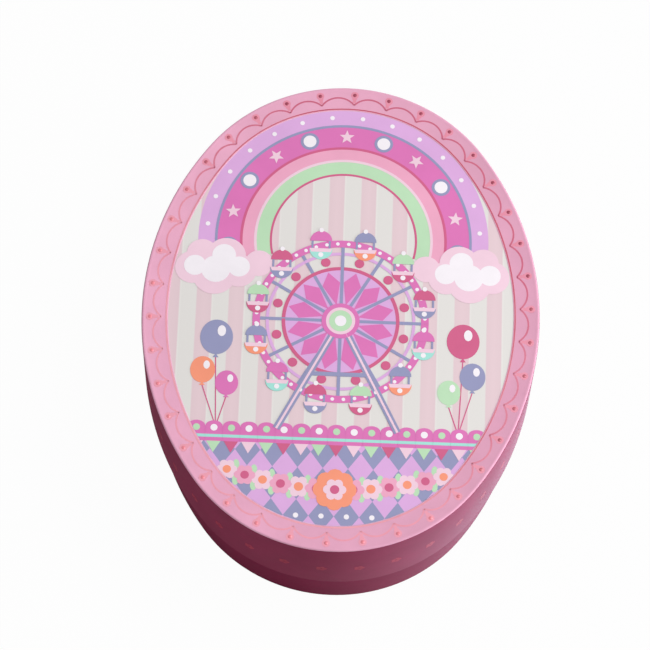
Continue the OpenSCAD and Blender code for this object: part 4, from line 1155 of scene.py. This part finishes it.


# For glossy rays only, the floor's right-hand side glows bright and slightly cool though it is no lamp: a
# painted reflection on the right-hand side of the walls.
REFLECTION_FROM, REFLECTION_TO, REFLECTION_GLOW, REFLECTION_COOL = -0.02, 0.07, 2.2, (-0.22, -0.02, 0.10)
m = bpy.data.materials.new("floor paper")
tree = emptied(m)
rays = add_node(tree, "LightPath", {}).outputs
across = add_node(tree, "SeparateXYZ", {0: on_piece(tree)}).outputs["X"]
# How much of the painted reflection shows, growing from left to right across the floor.
card = add_node(tree, "MapRange", {"Value": across, "From Min": REFLECTION_FROM, "From Max": REFLECTION_TO})
gloss = math_on(tree, "MULTIPLY", rays["Is Glossy Ray"], card.outputs["Result"])
direct = math_on(tree, "ADD", rays["Is Camera Ray"], rays["Is Transmission Ray"])
cool = add_node(tree, "VectorMath", {0: gloss, 1: REFLECTION_COOL, 2: (1, 1, 1)}, "MULTIPLY_ADD")
matt = add_node(tree, "BsdfDiffuse", {"Color": (0.6, 0.6, 0.6, 1)})
glow = add_node(tree, "Emission", {"Color": cool.outputs["Vector"],
                                   "Strength": math_on(tree, "MULTIPLY_ADD", gloss, REFLECTION_GLOW, 1.0)})
paper = add_node(tree, "MixShader", {0: math_on(tree, "MULTIPLY_ADD", direct, 0.97, gloss),
                                     1: matt.outputs["BSDF"], 2: glow.outputs["Emission"]})
clear = add_node(tree, "BsdfTransparent", {})
from_below = add_node(tree, "NewGeometry", {}).outputs["Backfacing"]
sided = add_node(tree, "MixShader", {0: from_below, 1: paper.outputs["Shader"], 2: clear.outputs["BSDF"]})
add_node(tree, "OutputMaterial", {"Surface": sided.outputs["Shader"]})
floor.data.materials.append(m)

world = bpy.data.worlds.new("studio")
bpy.context.scene.world = world
tree = emptied(world)
rays = add_node(tree, "LightPath", {}).outputs
shown = math_on(tree, "ADD", rays["Is Glossy Ray"], rays["Is Transmission Ray"])
seen = add_node(tree, "Math", {0: rays["Is Camera Ray"], 1: shown}, "ADD")
seen.use_clamp = True
soft = add_node(tree, "Background", {"Color": (1, 1, 1, 1), "Strength": 0.47})
white = add_node(tree, "Background", {"Color": (1, 1, 1, 1), "Strength": 1.0})
sky = add_node(tree, "MixShader", {0: seen.outputs["Value"], 1: soft.outputs["Background"],
                                   2: white.outputs["Background"]})
add_node(tree, "OutputWorld", {"Surface": sky.outputs["Shader"]})


def lamp(name, place, size, watts):
    """A round soft lamp aimed at the middle of the box."""
    light = bpy.data.lights.new(name, "AREA")
    light.shape = "DISK"
    light.size = size
    light.energy = watts
    head = placed(name, light)
    head.location = place
    aim = Vector((0, 0, 0.04)) - Vector(place)
    head.rotation_euler = aim.to_track_quat("-Z", "Y").to_euler()


lamp("key", (0.75, 0.10, 1.25), 0.7, 11.8)
lamp("right", (1.3, -0.23, 0.35), 0.6, 9.4)

# The camera looks down at the middle of the lid, which lies at this pixel of the picture.
PICTURE, AIM_U, AIM_V, HALF_W_PIXELS = 650, 340.9, 312.5, 199.3
ELEVATION, AZIMUTH, ROLL, HALF_WIDTHS_AWAY, SENSOR = 66.8, -0.68, 2.77, 16.38, 36
e, a, r = (math.radians(turn) for turn in (ELEVATION, AZIMUTH, ROLL))
back = Vector((math.sin(a) * math.cos(e), -math.cos(a) * math.cos(e), math.sin(e)))
right = arm(a)
up = back.cross(right)
right, up = right * math.cos(r) + up * math.sin(r), up * math.cos(r) - right * math.sin(r)
lens = bpy.data.cameras.new("camera")
lens.sensor_width = SENSOR
lens.lens = HALF_W_PIXELS * HALF_WIDTHS_AWAY / PICTURE * SENSOR
lens.shift_x = 0.5 - AIM_U / PICTURE
lens.shift_y = AIM_V / PICTURE - 0.5
lens.clip_end = 20
camera = placed("camera", lens)
stand = Vector((0, 0, HEIGHT)) + back * HALF_WIDTHS_AWAY * HALF_W
camera.matrix_world = Matrix.Translation(stand) @ Matrix((right, up, back)).transposed().to_4x4()
bpy.context.scene.camera = camera
bpy.context.scene.view_settings.view_transform = "Standard"
